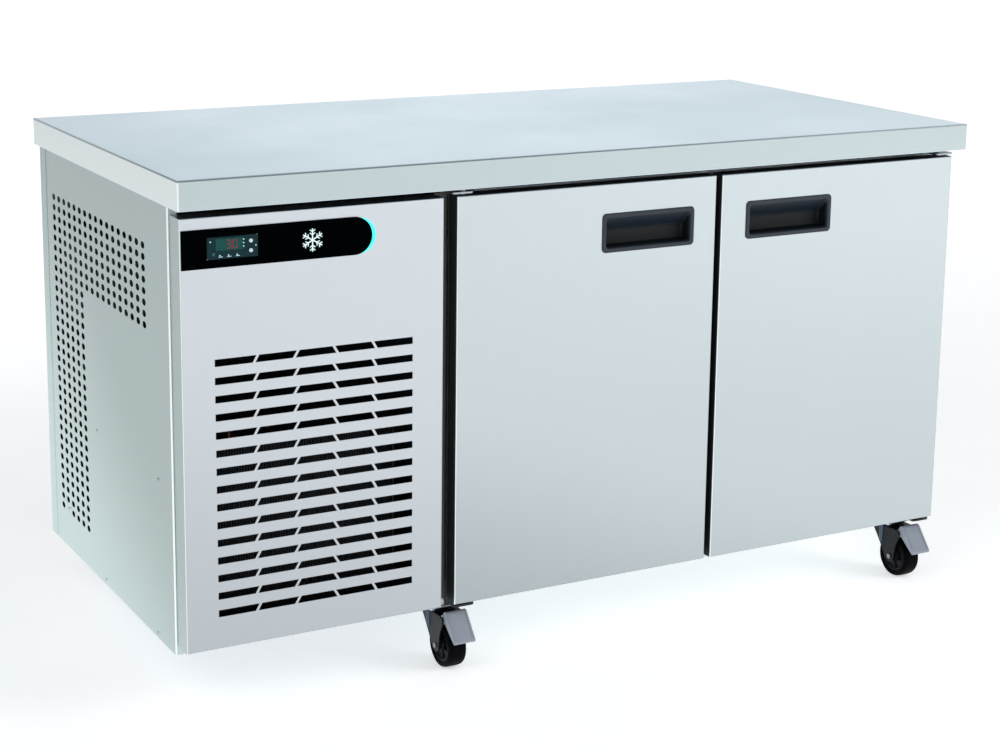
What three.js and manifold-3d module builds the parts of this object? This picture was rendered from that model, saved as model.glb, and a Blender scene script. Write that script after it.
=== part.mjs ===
// Two-door undercounter refrigerator: a refrigerating unit behind a slotted panel on the left,
// two insulated compartments with hinged doors, a flat steel worktop and four swivel castors.
// Units are millimetres. +Z is up, the doors face -Y, and the origin is on the floor under the centre.
import * as THREE from "three";
import { mergeVertices } from "three/addons/utils/BufferGeometryUtils.js";
import Module from "manifold-3d";

// Whole object
const WIDTH = 1415;
const DEPTH = 700;
const HEIGHT = 820;
const GAP = 0.3;

// Worktop
const SKIRT = 44;
const TOP_SHEET = 1.5;

// Insulated cabinet
const CASE = { x0: -272, x1: 692.5, y0: -298, y1: 321.5, z0: 104.4, z1: 775.7 };
const ROOM = { x0: -222, x1: 642.5, y1: 271.5, z0: 152, z1: 728 };
const SHEET = 1.2;
const MULLION = { x0: 173, x1: 245.5, y1: -250 };

// Doors
const DOOR_FRONT = -337;
const DOOR_BACK = -307;
const DOOR_Z0 = 118.5;
const DOOR_Z1 = 763.7;
const HINGE_INSET = 16;
const HINGE_Y = -322;
const PIN_RADIUS = 4;
const SEAL_WIDTH = 12;
const DOORS = [
  { side: "left", x0: -263.5, x1: 203.5, axisX: -247.5, handleX: -9.5 },
  { side: "right", x0: 215, x1: 688.5, axisX: 672.5, handleX: 262.5 },
];
const HANDLE = { width: 171, z0: 655, z1: 717.5, body: 5, lip: 8, proud: 2, back: -314, slope: 16 };

// Refrigerating unit compartment
const UNIT = { x0: -705, x1: -272.4, y0: -298, y1: 321.5, z0: 104.4, z1: 775.7 };
const PANEL = { x0: -701.5, x1: -286, z0: 118.5, z1: 763.7, back: -299.3 };
const SLOT_ROWS = 15;
const SLOT_PITCH = 27;
const SLOT_HEIGHT = 10.7;
const SLOT_TOP = 556.5;
const SLOT_CENTRE = -494.4;
const SLOT_HALF_LENGTH = 157;
const BRIDGE_WIDTH = 4.4;
const BRIDGES = [
  { top: 91, bottom: 97 },
  { top: 28, bottom: 34.5 },
];

// Control strip
const STRIP = { x0: -698.9, endX: -433.2, z: 718.2, half: 28.2, y0: -339.6 };
const CRESCENT = { gap: 0.4, reach: 5.7, start: 70 };
const WINDOW = { x0: -661.5, x1: -583.8, z0: 702, z1: 734.5 };
const BUTTONS = [
  { name: "button_up", x: -595, z: 725.5, r: 3 },
  { name: "button_down", x: -595, z: 711.5, r: 3 },
  { name: "button_set", x: -651.5, z: 710, r: 3 },
];

// Shelves
const SHELF = { width: 325, depth: 500, y0: -240, z: 428.4, rim: 6, wires: 10, wire: 3.5 };
const RUNNER = { y0: -246, z: 428, web: 28, sheet: 2, lip: 8 };

// Hinge brackets
const BRACKET = { y0: -333, long: 22, short: 14, plate: 3, topZ: 766.4, bottomZ: 112 };

// Refrigerating unit
const COMPRESSOR = { x: -470, y: 70, squash: 0.82 };
const COMPRESSOR_BASE = { x0: -570, x1: -370, y0: 0, y1: 140, z0: 122, z1: 130 };
const CONDENSER = { x0: -655, x1: -335, y0: -268, y1: -228, z0: 128, z1: 400, teeth: 16 };
const FAN = { x: -495, y: -208, z: 264, r: 108, hub: 32, depth: 24 };
const SHROUD = { clearance: 6, ring: 4, y0: -227, y1: -190, strapY: -149 };
const DISCHARGE_RADIUS = 5;
const DISCHARGE_ROUTE = [
  [-470, 70, 292.5],
  [-470, 66, 330],
  [-430, 20, 350],
  [-352, -60, 350],
  [-346, -150, 380],
  [-346, -223.5, 384],
];
const LIQUID_RADIUS = 4;
const LIQUID_ROUTE = [
  [-640, -223.5, 170],
  [-640, -180, 168],
  [-640, -60, 160],
  [-630, 60, 180],
  [-600, 190, 330],
  [-480, 215, 470],
  [-340, 130, 560],
  [-300, 95, 560],
  [-277, 95, 560],
];
const DRIER = { x: -636, z: 166, half: 50, r: 14 };
const ELECTRICAL_BOX = { x0: -690, x1: -560, y0: 190, y1: 312, z0: 500, z1: 640 };
const GLAND = { x: -620, z: 560, r: 9 };
const BACK_VENTS = { rows: 5, columns: 3, x: -660, z: 180, stepX: 122, stepZ: 40, width: 100, height: 8 };

// Evaporator
const COVER = { x0: -221.7, x1: -165, y0: -210, y1: 235, z0: 446, z1: 722, sheet: 1.2 };
const COVER_VENTS = { count: 7, y0: 20, y1: 200, z: 485, step: 31, height: 12 };
const EVAPORATOR_FAN = { y: -105, z: 584, r: 56, hub: 20, depth: 16 };
const EVAPORATOR_COIL = { x1: -170, y0: 12, y1: 212, z0: 456, z1: 712, fin: 15, teeth: 10 };
const FAN_BLADES = 5;
const BLADE_ANGLE = 0.42;

// Castors
const WHEEL_RADIUS = 37.5;
const WHEEL_SIDES = 24;
const WHEEL_HALF = 16;
const TRAIL = 28;
const AXLE_Z = WHEEL_RADIUS * Math.cos(Math.PI / WHEEL_SIDES);
const CASTORS = [
  { name: "front_left", x: -250.5, y: -262, brake: true },
  { name: "front_right", x: 659.5, y: -262, brake: true },
  { name: "rear_left", x: -250.5, y: 262, brake: false },
  { name: "rear_right", x: 659.5, y: 262, brake: false },
];

const wasm = await Module();
wasm.setup();
const group = new THREE.Group();
group.name = "undercounter_refrigerator";

// ---- shaping ----

function solid(geometry) {
  const bare = geometry.index ? geometry.toNonIndexed() : geometry.clone();
  bare.deleteAttribute("normal");
  bare.deleteAttribute("uv");
  const merged = mergeVertices(bare, 1e-4);
  return new wasm.Manifold(
    new wasm.Mesh({
      numProp: 3,
      vertProperties: new Float32Array(merged.attributes.position.array),
      triVerts: new Uint32Array(merged.index.array),
    }),
  );
}

function box(x0, x1, y0, y1, z0, z1) {
  const shape = new THREE.BoxGeometry(x1 - x0, y1 - y0, z1 - z0);
  shape.translate((x0 + x1) / 2, (y0 + y1) / 2, (z0 + z1) / 2);
  return solid(shape);
}

// A cylinder from one end to the other along an axis, through a point of the other two coordinates.
function rod(axis, radius, from, to, a, b, sides = 16) {
  const shape = new THREE.CylinderGeometry(radius, radius, to - from, sides);
  shape.rotateY(Math.PI / sides);
  const middle = (from + to) / 2;
  if (axis === "x") shape.rotateZ(Math.PI / 2).translate(middle, a, b);
  if (axis === "y") shape.translate(a, middle, b);
  if (axis === "z") shape.rotateX(Math.PI / 2).translate(a, b, middle);
  return solid(shape);
}

function outline(points) {
  const shape = new THREE.Shape();
  points.forEach(([a, b], i) => (i ? shape.lineTo(a, b) : shape.moveTo(a, b)));
  shape.closePath();
  return shape;
}

function extrude(shape, length, curveSegments = 7) {
  return new THREE.ExtrudeGeometry(shape, { depth: length, bevelEnabled: false, curveSegments });
}

// An outline drawn in Y and Z, carried along X.
function prismX(points, x0, x1) {
  const shape = extrude(outline(points), x1 - x0);
  shape.rotateX(Math.PI / 2).rotateZ(Math.PI / 2);
  return solid(shape.translate(x0, 0, 0));
}

// An outline drawn in X and Z, carried along Y.
function prismY(shape, y0, y1) {
  const solidShape = extrude(shape, y1 - y0);
  solidShape.rotateX(Math.PI / 2);
  return solid(solidShape.translate(0, y1, 0));
}

// An outline drawn in X and Y, carried along Z.
function prismZ(points, z0, z1) {
  return solid(extrude(outline(points), z1 - z0).translate(0, 0, z0));
}

function lathe(profile, sides) {
  const points = profile.map(([r, z]) => new THREE.Vector2(r, z));
  const shape = new THREE.LatheGeometry(points, sides);
  return solid(shape.rotateX(Math.PI / 2));
}

function tube(points, radius, steps) {
  const stations = points.map((p) => new THREE.Vector3(...p));
  const path = new THREE.CatmullRomCurve3(stations, false, "catmullrom", 0.2);
  const section = new THREE.Shape();
  section.absarc(0, 0, radius, 0, 2 * Math.PI, false);
  return solid(
    new THREE.ExtrudeGeometry(section, { steps, extrudePath: path, curveSegments: 3, bevelEnabled: false }),
  );
}

function join(pieces) {
  return pieces.reduce((all, piece) => all.add(piece));
}

function cut(body, tools) {
  return tools.reduce((left, tool) => left.subtract(tool), body);
}

function add(name, made, material) {
  const mesh = made.getMesh();
  const geometry = new THREE.BufferGeometry();
  geometry.setAttribute("position", new THREE.BufferAttribute(mesh.vertProperties, 3));
  geometry.setIndex(new THREE.BufferAttribute(mesh.triVerts, 1));
  geometry.computeVertexNormals();
  const piece = new THREE.Mesh(geometry, material);
  piece.name = name;
  group.add(piece);
}

// ---- materials ----

function metal(color, roughness) {
  return new THREE.MeshStandardMaterial({ color, metalness: 0.9, roughness });
}

function plastic(color, roughness) {
  return new THREE.MeshStandardMaterial({ color, metalness: 0, roughness });
}

const worktopSteel = () => metal(0xd3dee2, 0.35);
const doorSteel = () => metal(0xccd7db, 0.4);
const panelSteel = () => metal(0xd7dade, 0.4);
const sideSteel = () => metal(0xb9c7c5, 0.42);
const linerSteel = () => metal(0xbfc6c8, 0.45);
const zincSteel = () => metal(0x9aa3a8, 0.5);
const copper = () => metal(0xb8734a, 0.4);
const blackMetal = () => metal(0x24282c, 0.5);
const greyPlastic = () => plastic(0x878e9b, 0.5);
const handlePlastic = () => plastic(0x374452, 0.45);
const blackPlastic = () => plastic(0x14161a, 0.35);
const rubber = () => plastic(0x2a2b2e, 0.8);
const foam = () => plastic(0xd9c98f, 0.95);
const accentLight = () => plastic(0x3cebe1, 0.3);
const lensPlastic = () => plastic(0x10343a, 0.2);
const whitePlastic = () => plastic(0xd5d8d8, 0.45);

// ---- worktop ----

function addWorktop() {
  const x = WIDTH / 2;
  const y = DEPTH / 2;
  const t = TOP_SHEET;
  const low = HEIGHT - SKIRT;
  const shell = box(-x, x, -y, y, low, HEIGHT);
  const hollow = box(-x + t, x - t, -y + t, y - t, low - 1, HEIGHT - t);
  add("worktop_skin", cut(shell, [hollow]), worktopSteel());
  const c = t + GAP;
  add("worktop_core", box(-x + c, x - c, -y + c, y - c, low + GAP, HEIGHT - c), foam());
}

// ---- insulated cabinet ----

function addCabinet() {
  const c = CASE;
  const r = ROOM;
  const s = SHEET;
  const out = box(c.x0, c.x1, c.y0 + s + GAP, c.y1, c.z0, c.z1);
  const outHollow = box(c.x0 + s, c.x1 - s, c.y0 - 5, c.y1 - s, c.z0 + s, c.z1 - s);
  add("outer_case", cut(out, [outHollow]), doorSteel());
  const g = s + GAP;
  const block = box(c.x0 + g, c.x1 - g, c.y0 + g, c.y1 - g, c.z0 + g, c.z1 - g);
  const room = box(r.x0 - g, r.x1 + g, c.y0 - 5, r.y1 + g, r.z0 - g, r.z1 + g);
  add("insulation_body", cut(block, [room]), foam());
  const flange = box(c.x0, c.x1, c.y0, c.y0 + s, c.z0, c.z1);
  const bin = box(r.x0 - s, r.x1 + s, c.y0, r.y1 + s, r.z0 - s, r.z1 + s);
  const clear = box(r.x0, r.x1, c.y0 - 5, r.y1, r.z0, r.z1);
  add("inner_liner", cut(join([flange, bin]), [clear]), linerSteel());
}

function addMullion() {
  const m = MULLION;
  const post = box(m.x0, m.x1, CASE.y0, m.y1, ROOM.z0 + GAP, ROOM.z1 - GAP);
  add("door_mullion", post, blackPlastic());
  const rail = box(-226, 652, -304, CASE.y0 - GAP, 766, 775.5);
  add("top_rail", rail, blackPlastic());
}

// ---- shelves ----

function addRunners() {
  const { y0, z, sheet, web, lip } = RUNNER;
  const y1 = ROOM.y1 - GAP;
  const leftWall = ROOM.x0 + GAP;
  const rightWall = ROOM.x1 - GAP;
  const left = [
    box(leftWall, -219, y0, y1, z - web, z),
    box(leftWall, -140, y0, y1, z - sheet, z),
    box(-158.5, -156.5, y0, y1, z - sheet, z + lip),
  ];
  add("shelf_runner_left", join(left), linerSteel());
  const centre = [
    box(190, 228, MULLION.y1 + GAP, y1, z - web - sheet, z),
    box(156, 297, y0, y1, z - sheet, z),
    box(171.5, 173.5, y0, y1, z - sheet, z + lip),
    box(278, 280, y0, y1, z - sheet, z + lip),
  ];
  add("shelf_runner_centre", join(centre), linerSteel());
  const right = [
    box(639.5, rightWall, y0, y1, z - web, z),
    box(592, rightWall, y0, y1, z - sheet, z),
    box(608, 610, y0, y1, z - sheet, z + lip),
  ];
  add("shelf_runner_right", join(right), linerSteel());
}

function addShelf(name, x0) {
  const { width, depth, y0, z, rim, wires: count, wire } = SHELF;
  const x1 = x0 + width;
  const y1 = y0 + depth;
  const frame = cut(box(x0, x1, y0, y1, z, z + rim), [
    box(x0 + rim, x1 - rim, y0 + rim, y1 - rim, z - 1, z + rim + 1),
  ]);
  const wires = [frame];
  for (let i = 1; i <= count; i += 1) {
    const x = x0 + (i * width) / (count + 1);
    wires.push(box(x - wire / 2, x + wire / 2, y0 + 2, y1 - 2, z + 2, z + 5.4));
  }
  wires.push(box(x0 + 2, x1 - 2, 7, 12, z + 0.2, z + 3));
  add(name, join(wires), linerSteel());
}

// ---- doors ----

function pinHoles(door) {
  const r = PIN_RADIUS + 0.6;
  const x = door.axisX;
  return [rod("z", r, 738, 770, x, HINGE_Y, 12), rod("z", r, 110, 140, x, HINGE_Y, 12)];
}

function addDoor(door) {
  const { side, x0, x1 } = door;
  const h = HANDLE;
  const front = DOOR_FRONT;
  const joint = DOOR_BACK - 2.6;
  const holes = pinHoles(door);
  const hx0 = door.handleX + h.body;
  const hx1 = door.handleX + h.width - h.body;
  const hz0 = h.z0 + h.body;
  const hz1 = h.z1 - h.body;
  const skin = cut(box(x0, x1, front, joint, DOOR_Z0, DOOR_Z1), [
    box(x0 + 1, x1 - 1, front + 1, joint + 5, DOOR_Z0 + 1, DOOR_Z1 - 1),
    box(hx0 - GAP, hx1 + GAP, front - 5, front + 5, hz0 - GAP, hz1 + GAP),
    ...holes,
  ]);
  add("door_skin_" + side, skin, doorSteel());
  const g = 1 + GAP;
  const core = cut(box(x0 + g, x1 - g, front + g, joint, DOOR_Z0 + g, DOOR_Z1 - g), [
    box(hx0 - GAP, hx1 + GAP, front - 5, h.back + GAP, hz0 - GAP, hz1 + GAP),
    ...holes,
  ]);
  add("door_core_" + side, core, foam());
  const back = box(x0, x1, joint + GAP, DOOR_BACK, DOOR_Z0, DOOR_Z1);
  add("door_liner_" + side, back, linerSteel());
  const i = HINGE_INSET;
  const w = SEAL_WIDTH;
  const seal0 = DOOR_BACK + GAP;
  const seal1 = CASE.y0 - GAP;
  const seal = cut(box(x0 + i, x1 - i, seal0, seal1, DOOR_Z0 + i, DOOR_Z1 - i), [
    box(x0 + i + w, x1 - i - w, seal0 - 1, seal1 + 1, DOOR_Z0 + i + w, DOOR_Z1 - i - w),
  ]);
  add("door_gasket_" + side, seal, rubber());
}

function addHandle(door) {
  const h = HANDLE;
  const x0 = door.handleX;
  const x1 = x0 + h.width;
  const face = DOOR_FRONT - h.proud;
  const frame = box(x0, x1, face, DOOR_FRONT - GAP, h.z0, h.z1);
  const cup = box(x0 + h.body, x1 - h.body, face, h.back, h.z0 + h.body, h.z1 - h.body);
  const deep = h.back - 2;
  const pocket = [
    [face - 1, h.z0 + h.lip],
    [deep, h.z0 + h.lip],
    [deep, h.z1 - h.lip - h.slope],
    [face - 1, h.z1 - h.lip],
  ];
  const hollow = prismX(pocket, x0 + h.lip, x1 - h.lip);
  add("door_handle_" + door.side, cut(join([frame, cup]), [hollow]), handlePlastic());
}

function addHinges(door) {
  const { y0, long, short, plate, topZ, bottomZ } = BRACKET;
  const x = door.axisX;
  const dir = door.side === "left" ? 1 : -1;
  const wall = CASE.y0 - GAP;
  const [a, b] = [x - long * dir, x + short * dir].sort((p, q) => p - q);
  const top = [
    box(a, b, y0, wall, topZ, topZ + plate),
    box(a, b, wall - plate, wall, topZ, CASE.z1 - GAP),
    rod("z", PIN_RADIUS, 742, topZ + 1, x, HINGE_Y, 12),
  ];
  add("hinge_top_" + door.side, join(top), zincSteel());
  const [c, d] = [x - short * dir, x + long * dir].sort((p, q) => p - q);
  const bottom = [
    box(c, d, y0, wall, bottomZ, bottomZ + plate),
    box(c, d, wall - plate, wall, 104.6, bottomZ + plate),
    rod("z", PIN_RADIUS, bottomZ + 2, 136, x, HINGE_Y, 12),
  ];
  add("hinge_bottom_" + door.side, join(bottom), blackMetal());
}

// ---- unit compartment panels ----

function addUnitCase() {
  const u = UNIT;
  const side = cut(box(u.x0, u.x0 + 15, u.y0, u.y1, u.z0, u.z1), [
    box(u.x0 + 1.5, u.x0 + 20, u.y0 + 1.5, u.y1 - 1.5, u.z0 - 5, u.z1 + 5),
  ]);
  add("unit_side_panel", side, sideSteel());
  const x0 = u.x0 + 1.8;
  const tray = cut(box(x0, u.x1, u.y0 + 1.8, u.y1 - 1.8, u.z0, u.z0 + 18), [
    box(x0 + 1.5, u.x1 - 1.5, u.y0 + 3.3, u.y1 - 3.3, u.z0 + 1.5, u.z0 + 30),
  ]);
  add("unit_base_tray", tray, zincSteel());
  const back = box(u.x0 + 15.3, u.x1, u.y1 - 1.5, u.y1, u.z0, u.z1);
  const v = BACK_VENTS;
  const vents = [rod("y", GLAND.r + 0.5, u.y1 - 5, u.y1 + 5, GLAND.x, GLAND.z, 16)];
  for (let row = 0; row < v.rows; row += 1) {
    for (let column = 0; column < v.columns; column += 1) {
      const x = v.x + column * v.stepX;
      const z = v.z + row * v.stepZ;
      vents.push(box(x, x + v.width, u.y1 - 5, u.y1 + 5, z, z + v.height));
    }
  }
  add("unit_back_panel", cut(back, vents), zincSteel());
}

// The five openings of one slot row, as outlines in X and Z.
function slotRow(top) {
  const low = top - SLOT_HEIGHT;
  const half = BRIDGE_WIDTH / 2;
  const [outer, inner] = BRIDGES;
  const bridges = [
    [-outer.top, -outer.bottom],
    [-inner.top, -inner.bottom],
    [inner.top, inner.bottom],
    [outer.top, outer.bottom],
  ];
  const edges = [[-SLOT_HALF_LENGTH, -SLOT_HALF_LENGTH]];
  for (const [t, b] of bridges) edges.push([t - half, b - half], [t + half, b + half]);
  edges.push([SLOT_HALF_LENGTH, SLOT_HALF_LENGTH]);
  const holes = [];
  for (let i = 0; i < edges.length; i += 2) {
    const [leftTop, leftLow] = edges[i];
    const [rightTop, rightLow] = edges[i + 1];
    holes.push([
      [SLOT_CENTRE + leftLow, low],
      [SLOT_CENTRE + rightLow, low],
      [SLOT_CENTRE + rightTop, top],
      [SLOT_CENTRE + leftTop, top],
    ]);
  }
  return holes;
}

function addFrontPanel() {
  const p = PANEL;
  const w = WINDOW;
  const openings = [box(w.x0 + 1, w.x1 - 1, DOOR_FRONT - 5, DOOR_FRONT + 5, w.z0 + 1, w.z1 - 1)];
  for (let row = 0; row < SLOT_ROWS; row += 1) {
    for (const hole of slotRow(SLOT_TOP - row * SLOT_PITCH)) {
      openings.push(prismY(outline(hole), DOOR_FRONT - 5, DOOR_FRONT + 5));
    }
  }
  const sheet = cut(box(p.x0, p.x1, DOOR_FRONT, DOOR_FRONT + SHEET, p.z0, p.z1), openings);
  const sides = cut(box(p.x0, p.x1, DOOR_FRONT + 0.6, p.back, p.z0, p.z1), [
    box(p.x0 + SHEET, p.x1 - SHEET, DOOR_FRONT - 5, p.back + 5, p.z0 + SHEET, p.z1 - SHEET),
  ]);
  add("unit_front_panel", join([sheet, sides]), panelSteel());
}

// ---- control strip ----

function stripOutline(radius) {
  const s = STRIP;
  const shape = new THREE.Shape();
  shape.moveTo(s.x0, s.z - radius);
  shape.lineTo(s.endX, s.z - radius);
  shape.absarc(s.endX, s.z, radius, -Math.PI / 2, Math.PI / 2, false);
  shape.lineTo(s.x0, s.z + radius);
  shape.closePath();
  return shape;
}

// The strip of light that hugs the round end: two arcs that meet at its tips.
function crescentOutline() {
  const { endX, z, half } = STRIP;
  const { gap, reach, start } = CRESCENT;
  const inner = half + gap;
  const tip = THREE.MathUtils.degToRad(start);
  const tipX = inner * Math.cos(tip);
  const tipZ = inner * Math.sin(tip);
  const edge = inner + reach;
  const shift = (edge * edge - inner * inner) / (2 * (edge - tipX));
  const swing = Math.atan2(tipZ, tipX - shift);
  const shape = new THREE.Shape();
  shape.absarc(endX, z, inner, -tip, tip, false);
  shape.absarc(endX + shift, z, edge - shift, swing, -swing, true);
  shape.closePath();
  return shape;
}

function addControls() {
  const s = STRIP;
  const w = WINDOW;
  const back = DOOR_FRONT - GAP;
  const strip = cut(prismY(stripOutline(s.half), s.y0, back), [
    box(w.x0, w.x1, s.y0 - 5, back + 5, w.z0, w.z1),
  ]);
  add("control_fascia", strip, blackPlastic());
  add("fascia_light", prismY(crescentOutline(), s.y0 + 0.6, back), accentLight());
  const lens = box(w.x0 + GAP, w.x1 - GAP, s.y0 - 0.6, back - GAP, w.z0 + GAP, w.z1 - GAP);
  const housing = box(w.x0 + 3, w.x1 - 3, back - 0.5, -275, w.z0 + 3, w.z1 - 3);
  const wells = BUTTONS.map((b) => rod("y", b.r + 0.4, s.y0 - 5, s.y0 + 2.6, b.x, b.z, 12));
  add("controller", cut(join([lens, housing]), wells), lensPlastic());
  for (const b of BUTTONS) {
    add(b.name, rod("y", b.r, s.y0 - 1.2, s.y0 + 1.5, b.x, b.z, 12), whitePlastic());
  }
}

// ---- refrigerating unit ----

function addCompressor() {
  const c = COMPRESSOR;
  const b = COMPRESSOR_BASE;
  const profile = [[0, 128], [62, 128], [84, 142], [92, 168], [92, 210], [82, 262], [56, 286], [0, 292]];
  const can = lathe(profile, 14).scale([1, c.squash, 1]).translate([c.x, c.y, 0]);
  const pieces = [can, box(b.x0, b.x1, b.y0, b.y1, b.z0, b.z1)];
  for (const x of [b.x0 + 15, b.x1 - 15]) {
    for (const y of [b.y0 + 15, b.y1 - 15]) pieces.push(rod("z", 11, 106.3, b.z0 + 2, x, y, 10));
  }
  pieces.push(box(c.x + 78, c.x + 108, c.y - 25, c.y + 25, 180, 235));
  add("compressor", join(pieces), blackMetal());
}

function addCondenser() {
  const { x0, x1, y0, y1, z0, z1, teeth } = CONDENSER;
  const pitch = (x1 - x0) / teeth;
  const root = y1 - 12;
  const points = [[x1, root], [x1, y1], [x0, y1]];
  for (let i = 0; i < teeth; i += 1) {
    const x = x0 + i * pitch;
    points.push([x, y0], [x + 4, y0], [x + 4, root]);
    if (i < teeth - 1) points.push([x + pitch, root]);
  }
  add("condenser_coil", prismZ(points.reverse(), z0, z1), zincSteel());
}

function addFanShroud() {
  const f = FAN;
  const s = SHROUD;
  const c = CONDENSER;
  const plate = box(c.x0, c.x1, s.y0, s.y0 + 2, c.z0 - 2, c.z1 + 2);
  const bore = f.r + s.clearance;
  const collar = rod("y", bore + s.ring, s.y0 + 1, s.y1, f.x, f.z, 24);
  const hole = rod("y", bore, s.y0 - 3, s.y1 + 10, f.x, f.z, 24);
  const ring = cut(join([plate, collar]), [hole]);
  const [a, b] = [f.x - 12, f.x + 12];
  const strap = [
    box(a, b, s.strapY - 3, s.strapY, 132, 396),
    box(a, b, s.y0 + 1, s.strapY - 1, 132, 135),
    box(a, b, s.y0 + 1, s.strapY - 1, 393, 396),
    rod("y", 36, s.y1 - 2, s.strapY - 2, f.x, f.z, 18),
  ];
  add("condenser_fan_shroud", join([ring, ...strap]), blackMetal());
}

// A fan about an axis through the origin along Y: a hub and flat blades set at an angle.
function fanWheel(radius, hub, depth) {
  const pieces = [rod("y", hub, -depth / 2, depth / 2, 0, 0, 12)];
  for (let i = 0; i < FAN_BLADES; i += 1) {
    const blade = new THREE.BoxGeometry(radius * 0.62, 2.4, radius - hub + 6);
    blade.rotateZ(BLADE_ANGLE).translate(0, 0, (radius + hub - 6) / 2 - 2);
    blade.rotateY((2 * Math.PI * i) / FAN_BLADES);
    pieces.push(solid(blade));
  }
  const trim = rod("y", radius, -depth / 2, depth / 2, 0, 0, 20);
  return join(pieces).intersect(trim);
}

function addPipes() {
  add("discharge_line", tube(DISCHARGE_ROUTE, DISCHARGE_RADIUS, 16), copper());
  const d = DRIER;
  const drier = rod("y", d.r, -d.half, d.half, d.x, d.z, 12);
  add("liquid_line", join([tube(LIQUID_ROUTE, LIQUID_RADIUS, 20), drier]), copper());
}

function addElectrics() {
  const e = ELECTRICAL_BOX;
  const g = GLAND;
  const enclosure = box(e.x0, e.x1, e.y0, e.y1, e.z0, e.z1);
  const gland = rod("y", g.r, e.y1 - 1, e.y1 + 22, g.x, g.z, 12);
  add("electrical_box", join([enclosure, gland]), greyPlastic());
}

// ---- evaporator ----

function addEvaporator() {
  const c = COVER;
  const t = c.sheet;
  const f = EVAPORATOR_FAN;
  const v = COVER_VENTS;
  const shell = cut(box(c.x0, c.x1, c.y0, c.y1, c.z0, c.z1), [
    box(c.x0 - 5, c.x1 - t, c.y0 + t, c.y1 - t, c.z0 + t, c.z1 - t),
    rod("x", f.r + 5, c.x1 - 5, c.x1 + 5, f.y, f.z, 20),
  ]);
  const vents = [];
  for (let i = 0; i < v.count; i += 1) {
    const z = v.z + i * v.step;
    vents.push(box(c.x1 - 5, c.x1 + 5, v.y0, v.y1, z, z + v.height));
  }
  const bracket = [
    box(c.x0 + 3, c.x0 + 6, f.y - 8, f.y + 8, c.z0 + 0.5, c.z1 - 0.5),
    rod("x", 22, c.x0 + 4, c.x0 + 26, f.y, f.z, 16),
  ];
  add("evaporator_cover", join([cut(shell, vents), ...bracket]), whitePlastic());
  const wheel = fanWheel(f.r, f.hub, f.depth).rotate([0, 0, 90]);
  add("evaporator_fan", wheel.translate([c.x0 + 36, f.y, f.z]), blackPlastic());
  const coil = EVAPORATOR_COIL;
  const points = [[c.x0 + 3, coil.y0], [c.x0 + 3, coil.y1]];
  const pitch = (coil.y1 - coil.y0) / coil.teeth;
  const root = coil.x1 - coil.fin;
  for (let i = coil.teeth - 1; i >= 0; i -= 1) {
    const y = coil.y0 + i * pitch;
    points.push([coil.x1, y + pitch], [coil.x1, y + pitch - 4], [root, y + pitch - 4], [root, y]);
  }
  add("evaporator_coil", prismZ(points.reverse(), coil.z0, coil.z1), zincSteel());
}

// ---- castors ----

function addCastor(castor) {
  const { name, x, y } = castor;
  const wheelY = y - TRAIL;
  const plate = [
    box(x - 36, x + 36, y - 36, y + 36, 100.6, CASE.z0 - GAP),
    rod("z", 24, 97.3, 101, x, y, 14),
  ];
  add("castor_plate_" + name, join(plate), zincSteel());
  const leg = [
    [wheelY + 50, 90],
    [wheelY - 16, 90],
    [wheelY - 22, 88],
    [wheelY - 22, 77],
    [wheelY - 13, 60],
    [wheelY - 9, 27],
    [wheelY + 9, 27],
    [wheelY + 46, 78],
  ];
  const fork = [
    prismX(leg, x - 22, x - 19),
    prismX(leg, x + 19, x + 22),
    box(x - 22, x + 22, y - 34, y + 20, 86, 90),
    rod("z", 26, 89, 97, x, y, 14),
    rod("x", 5, x - 24.5, x + 24.5, wheelY, AXLE_Z, 8),
  ];
  add("castor_fork_" + name, join(fork), blackMetal());
  const h = WHEEL_HALF;
  const r = WHEEL_RADIUS;
  const profile = [[5.6, -h], [24, -h], [r - 4, -h + 2], [r, -h + 6], [r, h - 6]];
  profile.push([r - 4, h - 2], [24, h], [5.6, h], [5.6, -h]);
  const points = profile.map(([a, b]) => new THREE.Vector2(a, b));
  const wheel = new THREE.LatheGeometry(points, WHEEL_SIDES);
  wheel.rotateY(Math.PI / WHEEL_SIDES).rotateZ(Math.PI / 2);
  wheel.translate(x, wheelY, AXLE_Z);
  add("castor_wheel_" + name, solid(wheel), rubber());
  if (!castor.brake) return;
  const pivot = wheelY - 14;
  const pedal = [
    [pivot - 12, 99.5],
    [pivot - 45.8, 60],
    [pivot - 42, 55.5],
    [pivot - 9, 80],
    [pivot, 76],
    [pivot + 6, 82],
    [pivot, 89],
    [pivot - 6, 97],
  ];
  add("brake_pedal_" + name, prismX(pedal, x - 18, x + 18), greyPlastic());
}

addWorktop();
addCabinet();
addMullion();
addRunners();
addShelf("shelf_left", -155);
addShelf("shelf_right", 281.5);
for (const door of DOORS) {
  addDoor(door);
  addHandle(door);
  addHinges(door);
}
addUnitCase();
addFrontPanel();
addControls();
addCompressor();
addCondenser();
addFanShroud();
const condenserFan = fanWheel(FAN.r, FAN.hub, FAN.depth).translate([FAN.x, FAN.y, FAN.z]);
add("condenser_fan", condenserFan, blackPlastic());
addPipes();
addElectrics();
addEvaporator();
CASTORS.forEach(addCastor);

export default group;
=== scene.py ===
import math

import bmesh
import bpy
from mathutils import Matrix, Vector


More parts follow.
